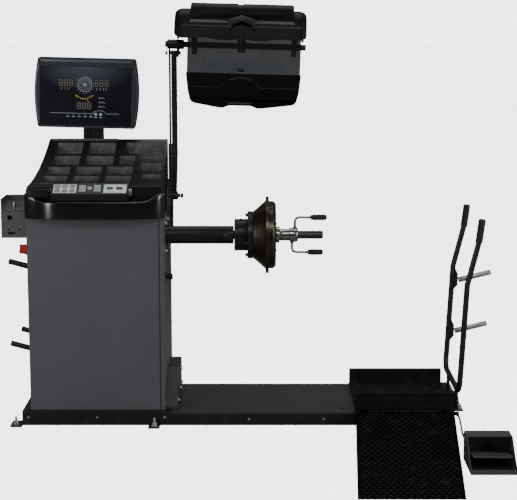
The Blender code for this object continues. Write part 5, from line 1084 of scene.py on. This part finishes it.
# Wheel guard: light bracket plate, black lifting post, thin tie rod, head plate with bolts, level tube.
softened("guard_bracket", 0.0009, light_coat, steep=35)
softened("guard_post", 0.0013, black_coat, steep=35, shortest=0.004)
softened("guard_head", 0.001, black_coat, steep=45, shortest=0.004)
post_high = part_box("guard_post")[1]
head_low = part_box("guard_head")[0]
pivot_z = 0.925
guard_y, arm_top = 0.12, pivot_z + 0.6
bracket_bolts = [hex_bolt((-0.0925, guard_y + y, z), (1, 0, 0), 0.014, 0.007)
                 for y in (-0.035, 0.085) for z in (0.735, 0.86)]
bracket_bolts.append(hex_bolt((post_high.x + 0.0105, guard_y, pivot_z), (1, 0, 0), 0.018, 0.008))
bracket_bolts.append(hex_bolt((-0.0795, guard_y + 0.06, pivot_z + 0.02), (1, 0, 0), 0.011, 0.005))
finished("guard_bracket_bolts", bracket_bolts, "base", black_oxide)
side_knob = [
    block((-0.0977, -0.045, 0.585), (-0.0945, -0.01, 0.62), 0.0012, 2),
    lathed([(0, 0), (0, 0.0055), (0.008, 0.0055), (0.0095, 0.0115), (0.012, 0.0125), (0.024, 0.012),
            (0.027, 0.01), (0.0275, 0)], (-0.095, -0.0275, 0.6025), (1, 0, 0), 28),
]
finished("cabinet_side_knob", side_knob, "base", black_moulding)
tie_y, tie_low, tie_high = guard_y + 0.06, pivot_z + 0.02, arm_top + 0.02
tie_shapes = [bent_rod([(-0.085, tie_y, tie_low + 0.0095), (-0.085, tie_y, tie_high - 0.0095)], 0.05,
                       0.0092)]
for eye_z in (tie_low, tie_high):
    tie_shapes.append(lathed([(-0.003, 0.0045), (-0.003, 0.0092), (-0.0022, 0.01), (0.0022, 0.01),
                              (0.003, 0.0092), (0.003, 0.0045)], (-0.085, tie_y, eye_z), (1, 0, 0), 32,
                              ring=True))
    tie_shapes.append(lathed([(0, 0.0031), (0, 0.0055), (0.016, 0.0055), (0.018, 0.0045), (0.018, 0.0031)],
                             (-0.085, tie_y, eye_z + (0.01 if eye_z == tie_low else -0.028)), (0, 0, 1), 6,
                             ring=True))
finished("tie_rod_with_eyes", tie_shapes, "guard_tie", black_coat,
         stands_for="guard_tie_rod")
post_bolts = [dome_screw((-0.063, guard_y - 0.0132, 1.11), (0, -1, 0), 0.011),
              dome_screw((-0.063, guard_y - 0.012, 1.46), (0, -1, 0), 0.009)]
finished("guard_post_bolts", post_bolts, "guard_arm", black_oxide)
head_bolts = [hex_bolt((head_low.x + 0.0005, guard_y, arm_top), (-1, 0, 0), 0.015, 0.007, 1.4),
              hex_bolt((-0.0432, guard_y, arm_top), (1, 0, 0), 0.015, 0.007, 1.4),
              hex_bolt((-0.0432, guard_y + 0.06, arm_top + 0.02), (1, 0, 0), 0.011, 0.006, 1.3)]
head_bolts.append(dome_screw((-0.033, guard_y - 0.02, arm_top + 0.0362), (0, -1, 0), 0.008))
head_bolts.append(dome_screw((-0.075, guard_y - 0.02, arm_top + 0.0362), (0, -1, 0), 0.008))
finished("guard_head_bolts", head_bolts, "hood", black_oxide)
hood_lean = radians(1.6)
hub = Vector((-0.05075, guard_y, arm_top + 0.036))


def tilted(shape):
    """The hood's slight lean about the tube's mounting, given to a shape."""
    shape.transform(Matrix.Translation(hub) @ Matrix.Rotation(hood_lean, 4, "Y") @ Matrix.Translation(-hub))
    return shape


tube_line = [(-0.1, 0), (-0.1, 0.0105), (-0.0985, 0.0125), (0.4865, 0.0125), (0.488, 0.0115),
             (0.488, 0.0095), (0.486, 0.009), (0.486, 0)]
finished("guard_tube_skin", tilted(lathed(tube_line, hub * Vector((0, 1, 1)), (1, 0, 0), 48)), "hood",
         black_coat, stands_for="guard_tube")

# Hood: two black mouldings with soft edges, a smoked pane between them, straps that grip the tube.
hood_moulding = moulded("hood moulding", (0.0048, 0.0048, 0.005), 0.46, grain=0.001,
                        depth=0.00009).sheen(0.2)
# The ridge moulding is lighter than the shell: on the lower shell's ridges it is a painted highlight; the
# brow and chevron handle share it.
highlit_ridge_moulding = moulded("hood ridge moulding", (0.03, 0.03, 0.031), 0.36).sheen(0.5)
# Pale stripe moulding: a painted highlight along the lower edge of the top roll.
highlight_stripe_moulding = moulded("pale hood highlight stripe", (0.1, 0.105, 0.11), 0.34)
softened("hood_lower_shell", 0.003, hood_moulding, segments=3, steep=40, shortest=0.006, merge=0)
softened("hood_clamp_left", 0.0008, black_moulding, steep=50, shortest=0.004)
softened("hood_clamp_right", 0.0008, black_moulding, steep=50, shortest=0.004)
window_low, window_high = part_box("hood_window")
hood_middle_z, hood_half_height, hood_reach, hood_bow = 1.52, 0.235, 0.125, 0.075


def hood_skin(z):
    """Depth of the hood's outer skin at a height."""
    return guard_y - hood_reach + hood_bow * ((z - hood_middle_z) / hood_half_height) ** 2


def thickened(shape, depth):
    """Gives an open bmesh a thickness along +Y."""
    grown = bmesh.ops.extrude_face_region(shape, geom=shape.faces[:])
    for corner in grown["geom"]:
        if isinstance(corner, bmesh.types.BMVert):
            corner.co.y += depth
    bmesh.ops.recalc_face_normals(shape, faces=shape.faces)
    return shape


def plate(outline, front, depth):
    """A flat shape with its outline in X and Z, from its front's depth and its thickness."""
    shape = bmesh.new()
    shape.faces.new([shape.verts.new((x, front, z)) for x, z in outline])
    return thickened(shape, depth)


def on_hood(outline, proud, depth, rounding=0.0004):
    """A flat raised shape that lies on the hood's bowed front, from its outline in X and Z."""
    shape = plate(outline, 0, depth)
    sharp = [edge for edge in shape.edges if len(edge.link_faces) == 2 and edge.calc_face_angle(0) > 0.6
             and edge.calc_length() > 2 * rounding]
    rounded(shape, sharp, rounding, 1)
    for corner in shape.verts:
        corner.co.y += hood_skin(corner.co.z) - proud
    return tilted(shape)


middle_x = 0.22
shell_x0, shell_x1 = -0.059, 0.487
lip_z, crown_z = 1.591, 1.71
profile = [(hood_skin(z), z) for z in [lip_z + 0.014 * step for step in range(7)]]
profile += [(guard_y - 0.066, crown_z - 0.009), (guard_y - 0.054, crown_z - 0.003),
            (guard_y - 0.04, crown_z), (guard_y - 0.005, crown_z + 0.0005), (guard_y + 0.025, crown_z),
            (guard_y + 0.038, crown_z - 0.004), (guard_y + 0.045, crown_z - 0.013),
            (guard_y + 0.045, crown_z - 0.054), (guard_y + 0.02, lip_z + 0.012)]
hub_y, hub_z = guard_y - 0.035, 1.655
round_end = 0.034
stations = [shell_x0 + round_end * (1 - cos(pi / 2 * step / 8)) for step in range(8)]
stations += [shell_x0 + round_end + (shell_x1 - shell_x0 - 2 * round_end) * step / 40 for step in range(41)]
stations += [shell_x1 - round_end * (1 - cos(pi / 2 * step / 8)) for step in range(7, -1, -1)]
shell = bmesh.new()
loops = []
for x in stations:
    from_end = min(1.0, min(x - shell_x0, shell_x1 - x) / round_end)
    shrink = 0.03 * (1 - (1 - (1 - from_end) ** 2) ** 0.5)
    centred = (x - middle_x) / 0.24
    wave = 0.003 * cos(3 * pi * centred) - 0.003 * cos(pi * centred)
    loop = []
    for y, z in profile:
        out = Vector((0, y - hub_y, z - hub_z))
        reach = max(0.2, 1 - shrink / max(out.length, 0.03))
        low_share = max(0.0, 1 - (z - lip_z) / 0.02) if y < hub_y else 0.0
        loop.append(shell.verts.new((x, hub_y + out.y * reach, hub_z + out.z * reach + wave * low_share)))
    loops.append(loop)
skinned(shell, loops)
shell.faces.new(loops[0])
shell.faces.new(loops[-1][::-1])
bmesh.ops.recalc_face_normals(shell, faces=shell.faces)
bmesh.ops.solidify(shell, geom=shell.faces[:], thickness=0.0035)
bmesh.ops.recalc_face_normals(shell, faces=shell.faces)
roll_line = [(0.007, 0), (0.007, 0.04), (0.0085, 0.044), (0.0125, 0.046), (0.201, 0.046), (0.203, 0.0452),
             (0.204, 0.0425), (0.223, 0.0425), (0.224, 0.0452), (0.226, 0.046), (0.4275, 0.046),
             (0.4315, 0.044), (0.433, 0.04), (0.433, 0)]
roll = lathed(roll_line, (0, guard_y - 0.045, 1.735 - 0.0462), (1, 0, 0), 96)
brow = on_hood([(-0.03, 1.64), (0.47, 1.64), (0.466, 1.6455), (-0.026, 1.6455)], 0.002, 0.004, 0.0008)
middle_clamp = block((middle_x - 0.016, guard_y - 0.06, arm_top + 0.01),
                     (middle_x + 0.016, guard_y + 0.022, arm_top + 0.062), 0.004)
grip_line = [(-0.055, 1.634), (-0.044, 1.634), (-0.04, 1.65), (0.0, 1.664), (0.04, 1.65), (0.044, 1.634),
             (0.055, 1.634), (0.055, 1.672), (0.0, 1.688), (-0.055, 1.672)]
chevron = plate([(middle_x + x, z) for x, z in grip_line], hood_skin(1.66) - 0.028, 0.05)
rounded(chevron, [edge for edge in chevron.edges if edge.calc_face_angle(0) > 0.4], 0.0028, 3)
finished("hood_top_moulding", joined(tilted(shell), tilted(roll), tilted(middle_clamp)), "hood",
                       hood_moulding, 40, stands_for="hood_top_shell")
finished("hood_chevron_handle", joined(tilted(chevron), brow), "hood", highlit_ridge_moulding)
pane = bmesh.new()
rows = 24
edges_x = (-0.002, 0.464)
grid = []
for step in range(rows + 1):
    z = 1.437 + (1.606 - 1.437) * step / rows
    bow = hood_skin(z) + 0.0048
    grid.append([pane.verts.new((edges_x[0] + (edges_x[1] - edges_x[0]) * share / 12, bow, z))
                 for share in range(13)])
skinned(pane, grid)
tilted(thickened(pane, 0.003))
smoked = Finish("smoked window", 0.1, 0.0)
pane_height = smoked.node("ShaderNodeSeparateXYZ", None, {0: smoked.place()}, output=2)
pane_rise = smoked.band(pane_height, 1.505, 1.56)
pane_low = smoked.blend(smoked.noise(0.05, 3.0), (0.018, 0.02, 0.024), (0.028, 0.031, 0.036))
smoked.set("Base Color", smoked.blend(pane_rise, pane_low, (0.01, 0.011, 0.013)))
smoked.sheen(0.35)
smoked.set("Alpha", 0.9)
smoked.set("Coat Weight", 0.3)
smoked.bump(smoked.noise(0.06, 2.0), 0.0004, 0.25)
finished("hood_window_pane", pane, "hood", smoked, stands_for="hood_window")

# Painted highlights: pale strips along the lower edge of the top roll, where it catches the light, and a
# short strip of the same pale moulding low on the lower shell.
trim = []
for x_from, x_to in ((0.005, 0.163), (0.249, 0.4365)):
    trim.append(on_hood([(x_from, 1.656), (x_to, 1.656), (x_to - 0.004, 1.667), (x_from + 0.004, 1.667)],
                        0.0018, 0.004))
trim.append(on_hood([(middle_x - 0.05, 1.324), (middle_x + 0.05, 1.324), (middle_x + 0.044, 1.33),
                     (middle_x - 0.044, 1.33)], 0.0012, 0.003))
finished("hood_highlight_strips", trim, "hood", highlight_stripe_moulding)
panel = bmesh.new()
panel_corners = ((-0.176, 0, 1.459), (0.176, 0, 1.459), (0.16, 0, 1.5), (-0.16, 0, 1.5))
panel.faces.new([panel.verts.new(place) for place in panel_corners])
for level in (1.47, 1.48, 1.49):
    bmesh.ops.bisect_plane(panel, geom=panel.verts[:] + panel.edges[:] + panel.faces[:],
                           plane_co=(0, 0, level), plane_no=(0, 0, 1), dist=1e-6)
for corner in panel.verts:
    corner.co.x += middle_x + 0.008
    corner.co.y = hood_skin(corner.co.z) + 0.0046
bmesh.ops.solidify(panel, geom=panel.faces[:], thickness=0.0006)
bmesh.ops.recalc_face_normals(panel, faces=panel.faces)
inner_band = moulded("paler smoked band", (0.08, 0.087, 0.097), 0.26)
finished("hood_window_band", tilted(panel), "hood", inner_band)

# Raised ridges on the lower shell, in the lighter moulding that paints their highlight.
ridges = [on_hood([(window_low.x + 0.012, 1.392), (middle_x - 0.08, 1.392), (middle_x - 0.064, 1.408),
                   (middle_x - 0.068, 1.41),
                   (middle_x - 0.082, 1.3955), (window_low.x + 0.012, 1.3955)], 0.0022, 0.004, 0.0008),
          on_hood([(middle_x + 0.08, 1.392), (window_high.x - 0.012, 1.392), (window_high.x - 0.012, 1.3955),
                   (middle_x + 0.082, 1.3955), (middle_x + 0.068, 1.41), (middle_x + 0.064, 1.408)], 0.0022,
                   0.004, 0.0008),
          on_hood([(middle_x - 0.05, 1.428), (middle_x, 1.441), (middle_x + 0.05, 1.428),
                   (middle_x + 0.042, 1.422),
                   (middle_x, 1.4325), (middle_x - 0.042, 1.422)], 0.003, 0.005, 0.001)]
finished("hood_ridges", ridges, "hood", highlit_ridge_moulding)

catch = [
    tilted(block((middle_x - 0.007, hood_skin(1.56) + 0.0034, 1.545),
                 (middle_x + 0.007, hood_skin(1.56) + 0.005, 1.606), 0.0006)),
    tilted(block((middle_x - 0.013, hood_skin(1.4655) + 0.001, 1.459),
                 (middle_x + 0.013, hood_skin(1.4655) + 0.0052, 1.472), 0.002, 2)),
    tilted(block((middle_x - 0.007, hood_skin(1.4655) - 0.003, 1.462),
                 (middle_x + 0.007, hood_skin(1.4655) + 0.002, 1.468), 0.0016, 2)),
]
finished("hood_strap_and_catch", catch, "hood", black_moulding)
hood_bolts = []
for x, z in ((-0.04, 1.59), (0.47, 1.59), (0.012, 1.56), (0.452, 1.56)):
    spot = Vector((x, hood_skin(z) + (0.0 if z > 1.58 else 0.0046), z))
    bolt = dome_screw(spot, (0, -1, 0), 0.011)
    hood_bolts.append(tilted(bolt))
finished("hood_bolts", hood_bolts, "hood", black_oxide)

# Trolley: folded base plate on the rail with a lifting cradle.
# The cradle's floor, wedge and rear wall are one sheet.
softened("trolley_base", 0.0008, black_coat, steep=50, shortest=0.005)
softened("lift_cradle", 0.0011, deck_coat, steep=35, shortest=0.004)
for arm in ("front_1", "front_2", "rear_1", "rear_2"):
    softened("lift_arm_" + arm, 0.0008, bright_steel, steep=50)
cradle_low, cradle_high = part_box("lift_cradle")
floor_z = 0.0724
plate_z = 0.0663
deck_bolts = [dome_screw((1.02, 0.15, floor_z), (0, 0, 1), 0.018)]
deck_bolts += [dome_screw((x, y, floor_z), (0, 0, 1), 0.012)
               for x in (0.73, 1.06) for y in (-0.06, 0.205)]
finished("cradle_bolts", deck_bolts, "cradle", black_oxide)
weld_beads = []
beads_each_side = 34
for x in (cradle_low.x + 0.0045, cradle_high.x - 0.0045):
    for number in range(beads_each_side):
        share = number / (beads_each_side - 1)
        y = -0.172 + 0.066 * share
        z = 0.139 - 0.064 * share
        weld_beads.append(lathed([(-0.0016, 0), (-0.0012, 0.0016), (0.0012, 0.0016), (0.0016, 0)], (x, y, z),
                                 (0, 0.72, -0.69), 8))
finished("cradle_welds", weld_beads, "cradle", black_coat)
skirt_screws = [dome_screw((x, -0.1788, 0.044), (0, -1, 0), 0.01) for x in (0.79, 0.895, 1.0)]
finished("skirt_screws", skirt_screws, "trolley", black_oxide)
end_bolts = [hex_bolt((1.128, y, plate_z + 0.0002), (0, 0, 1), 0.015, 0.008, 1.35)
             for y in (-0.15, 0.0, 0.15)]
eye_pin = bent_rod([(1.119, -0.1755, 0.066), (1.119, -0.1755, 0.093), (1.119, -0.16, 0.099),
                    (1.119, -0.145, 0.093), (1.119, -0.145, 0.066)], 0.008, 0.006)
latch_nut = hex_bolt((1.1305, -0.015, plate_z + 0.0002), (0, 0, 1), 0.019, 0.01, 1.3)
finished("trolley_end_bolts", end_bolts + [eye_pin, latch_nut], "trolley", zinc_plate)

# Ramp: long tapering checker plate, hung on a hinge rod; raised studs in rows with bare, scuffed tops.
ramp_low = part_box("ramp")[0]
softened("ramp", 0.0009, ramp_coat, steep=50, shortest=0.005)
head_y, toe_y = -0.1905, ramp_low.y
head_left, head_right, toe_left, toe_right = 0.691, 1.099, 0.64, 1.024
head_z, toe_z = 0.0662, 0.004
tip = atan2(head_z - toe_z, head_y - toe_y)
dome_rings, dome_sides = ((1.0, 0.0), (0.82, 0.62), (0.45, 0.92)), 12
rows, studs_across = 34, 15
studs = bmesh.new()
for row in range(rows):
    y = toe_y + 0.024 + (head_y - toe_y - 0.06) * row / (rows - 1)
    share = (y - head_y) / (toe_y - head_y)
    top_z = head_z + (toe_z - head_z) * share
    left = head_left + (toe_left - head_left) * share + 0.02
    right = head_right + (toe_right - head_right) * share - 0.02
    for number in range(studs_across - row % 2):
        x = left + (right - left) * (number + 0.5 * (row % 2)) / (studs_across - 1)
        turn = radians(45 if (number + row) % 2 else -45)
        place = (Matrix.Translation((x, y, top_z - 0.0003)) @ Matrix.Rotation(tip, 4, "X")
                 @ Matrix.Rotation(turn, 4, "Z") @ Matrix.Diagonal((0.0105, 0.0042, 0.002, 1)))
        rings = []
        for radius, height in dome_rings:
            angles = [2 * pi * step / dome_sides for step in range(dome_sides)]
            rings.append([studs.verts.new(place @ Vector((radius * cos(angle), radius * sin(angle), height)))
                          for angle in angles])
        skinned(studs, rings, closed=True)
        studs.faces.new(rings[-1])
        studs.faces.new(rings[0][::-1])
stud_coat = powder_coat("rubbed black stud coat", (0.009, 0.009, 0.0092), 0.62, worn=0.5).sheen(0.2)
finished("ramp_studs", studs, "ramp_plate", stud_coat)

# Handle frame: one tube bent from grip to grip, its ends sleeved in rubber, welded feet and peg tongues.
front_y, rear_y = -0.2, 0.24
side = [(1.121, 0.25), (1.139, 0.6), (1.182, 0.775), (1.193, 0.866)]
corners = [(x, front_y, z) for x, z in reversed(side)] + [(1.115, front_y, 0.148), (1.115, rear_y, 0.148)]
corners += [(x, rear_y, z) for x, z in side]
frame_tube = bent_rod(corners, 0.05, 0.024, 40)
foot_plates = []
for y in (front_y + 0.1, rear_y - 0.1):
    foot_plates.append(block((1.104, y - 0.024, plate_z + 0.0003), (1.137, y + 0.024, plate_z + 0.006),
                             0.0012))
    foot_plates.append(block((1.111, y - 0.02, plate_z + 0.004), (1.119, y + 0.02, 0.147), 0.001))
tongues = []
peg_heights, tongue_reach = (0.31, 0.538), 0.024


def tube_x(z):
    """How far along the rail the lower part of an upright stands at a height."""
    return 1.121 + 0.018 * (z - 0.25) / 0.35


for peg_z in peg_heights:
    plate_x = tube_x(peg_z) + tongue_reach
    outline = [(tube_x(peg_z - 0.04) + 0.008, peg_z - 0.04), (plate_x, peg_z - 0.02),
               (plate_x, peg_z + 0.03), (tube_x(peg_z + 0.055) + 0.008, peg_z + 0.055)]
    tongues.append(plate(outline, rear_y - 0.014, 0.028))
    rounded(tongues[-1], tongues[-1].edges[:], 0.0014, 2)
finished("handle_frame_tube", joined(frame_tube, *foot_plates, *tongues), "trolley",
                       black_coat, 45, stands_for="handle_frame")
foot_bolts = []
for y in (front_y + 0.1, rear_y - 0.1):
    for step in (-0.016, 0.016):
        foot_bolts.append(hex_bolt((1.1285, y + step, plate_z + 0.0061), (0, 0, 1), 0.01, 0.005, 1.3))
finished("handle_foot_bolts", foot_bolts, "trolley", zinc_plate)
foot_tag = [
    block((1.1225, front_y + 0.085, 0.09), (1.1245, front_y + 0.115, 0.175), 0.0006),
    lathed([(0, 0.0045), (0, 0.0085), (0.002, 0.0085), (0.002, 0.0045)], (1.1245, front_y + 0.1, 0.16),
           (1, 0, 0), 24, ring=True),
]
finished("handle_foot_plate", foot_tag, "trolley", light_coat)

# Rubber sleeves on the handle's ends: slightly waisted, ring grooves and a domed end.
rise = Vector((1.193 - 1.182, 0, 0.866 - 0.775)).normalized()
for name, y in (("front", front_y), ("rear", rear_y)):
    outline = [(-0.092, 0.0123), (-0.092, 0.0143), (-0.0905, 0.0153)]
    for step in range(15):
        at = -0.086 + 0.0052 * step
        outline += [(at, 0.0152), (at + 0.001, 0.0146), (at + 0.002, 0.0146), (at + 0.003, 0.0152)]
    outline += [(-0.001, 0.0152), (0.0022, 0.014), (0.004, 0.011), (0.004, 0.0)]
    outline += [(0.0006, 0.0), (0.0006, 0.0123)]
    sleeve = lathed(outline, (1.193, y, 0.866), rise, 40)
    finished(f"handle_sleeve_{name}", sleeve, "trolley", black_rubber, 30,
             stands_for="handle_grip_" + name)

# Storage pegs: zinc plated bars with chamfered ends that hold cones on the frame's rear upright.
peg_rise = radians(14)
peg_way = Vector((cos(peg_rise), 0, sin(peg_rise)))
for name, peg_z in zip(("lower", "upper"), peg_heights):
    foot = Vector((tube_x(peg_z) + tongue_reach + 0.012 * sin(peg_rise) + 0.001, rear_y, peg_z))
    line = [(0, 0), (0, 0.0115), (0.001, 0.012), (0.1405, 0.012), (0.1435, 0.0108), (0.145, 0.009),
            (0.145, 0.004), (0.1425, 0.003), (0.1425, 0)]
    finished(f"peg_bar_{name}", lathed(line, foot, peg_way, 48), "trolley", zinc_plate,
             stands_for="storage_peg_" + name)

# Foot pedal: folded black housing with a sprung treadle; ribs on the tread and screws on both sides.
softened("pedal_housing", 0.001, pedal_coat, steep=35, shortest=0.004)
softened("pedal_treadle", 0.001, pedal_coat, steep=35, shortest=0.004)
pedal_low, pedal_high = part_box("pedal_housing")
tread_low, tread_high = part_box("pedal_treadle")
tread_ribs = []
for number in range(11):
    x = tread_low.x + 0.012 + (tread_high.x - tread_low.x - 0.024) * number / 10
    rib = block((x - 0.0022, -0.008, 0), (x + 0.0022, 0.008, 0.0016), 0.0007, 1)
    rib.transform(Matrix.Translation((0, -0.7805, 0.062)))
    tread_ribs.append(rib)
finished("treadle_ribs", tread_ribs, "pedal", stud_coat)
pedal_screws = [dome_screw((wall_x, y, z), (way, 0, 0), 0.009)
                for wall_x, way in ((pedal_high.x + 0.0001, 1), (pedal_low.x - 0.0001, -1))
                for y, z in ((-0.647, 0.03), (-0.64, 0.09))]
finished("pedal_screws", pedal_screws, "base", zinc_plate)
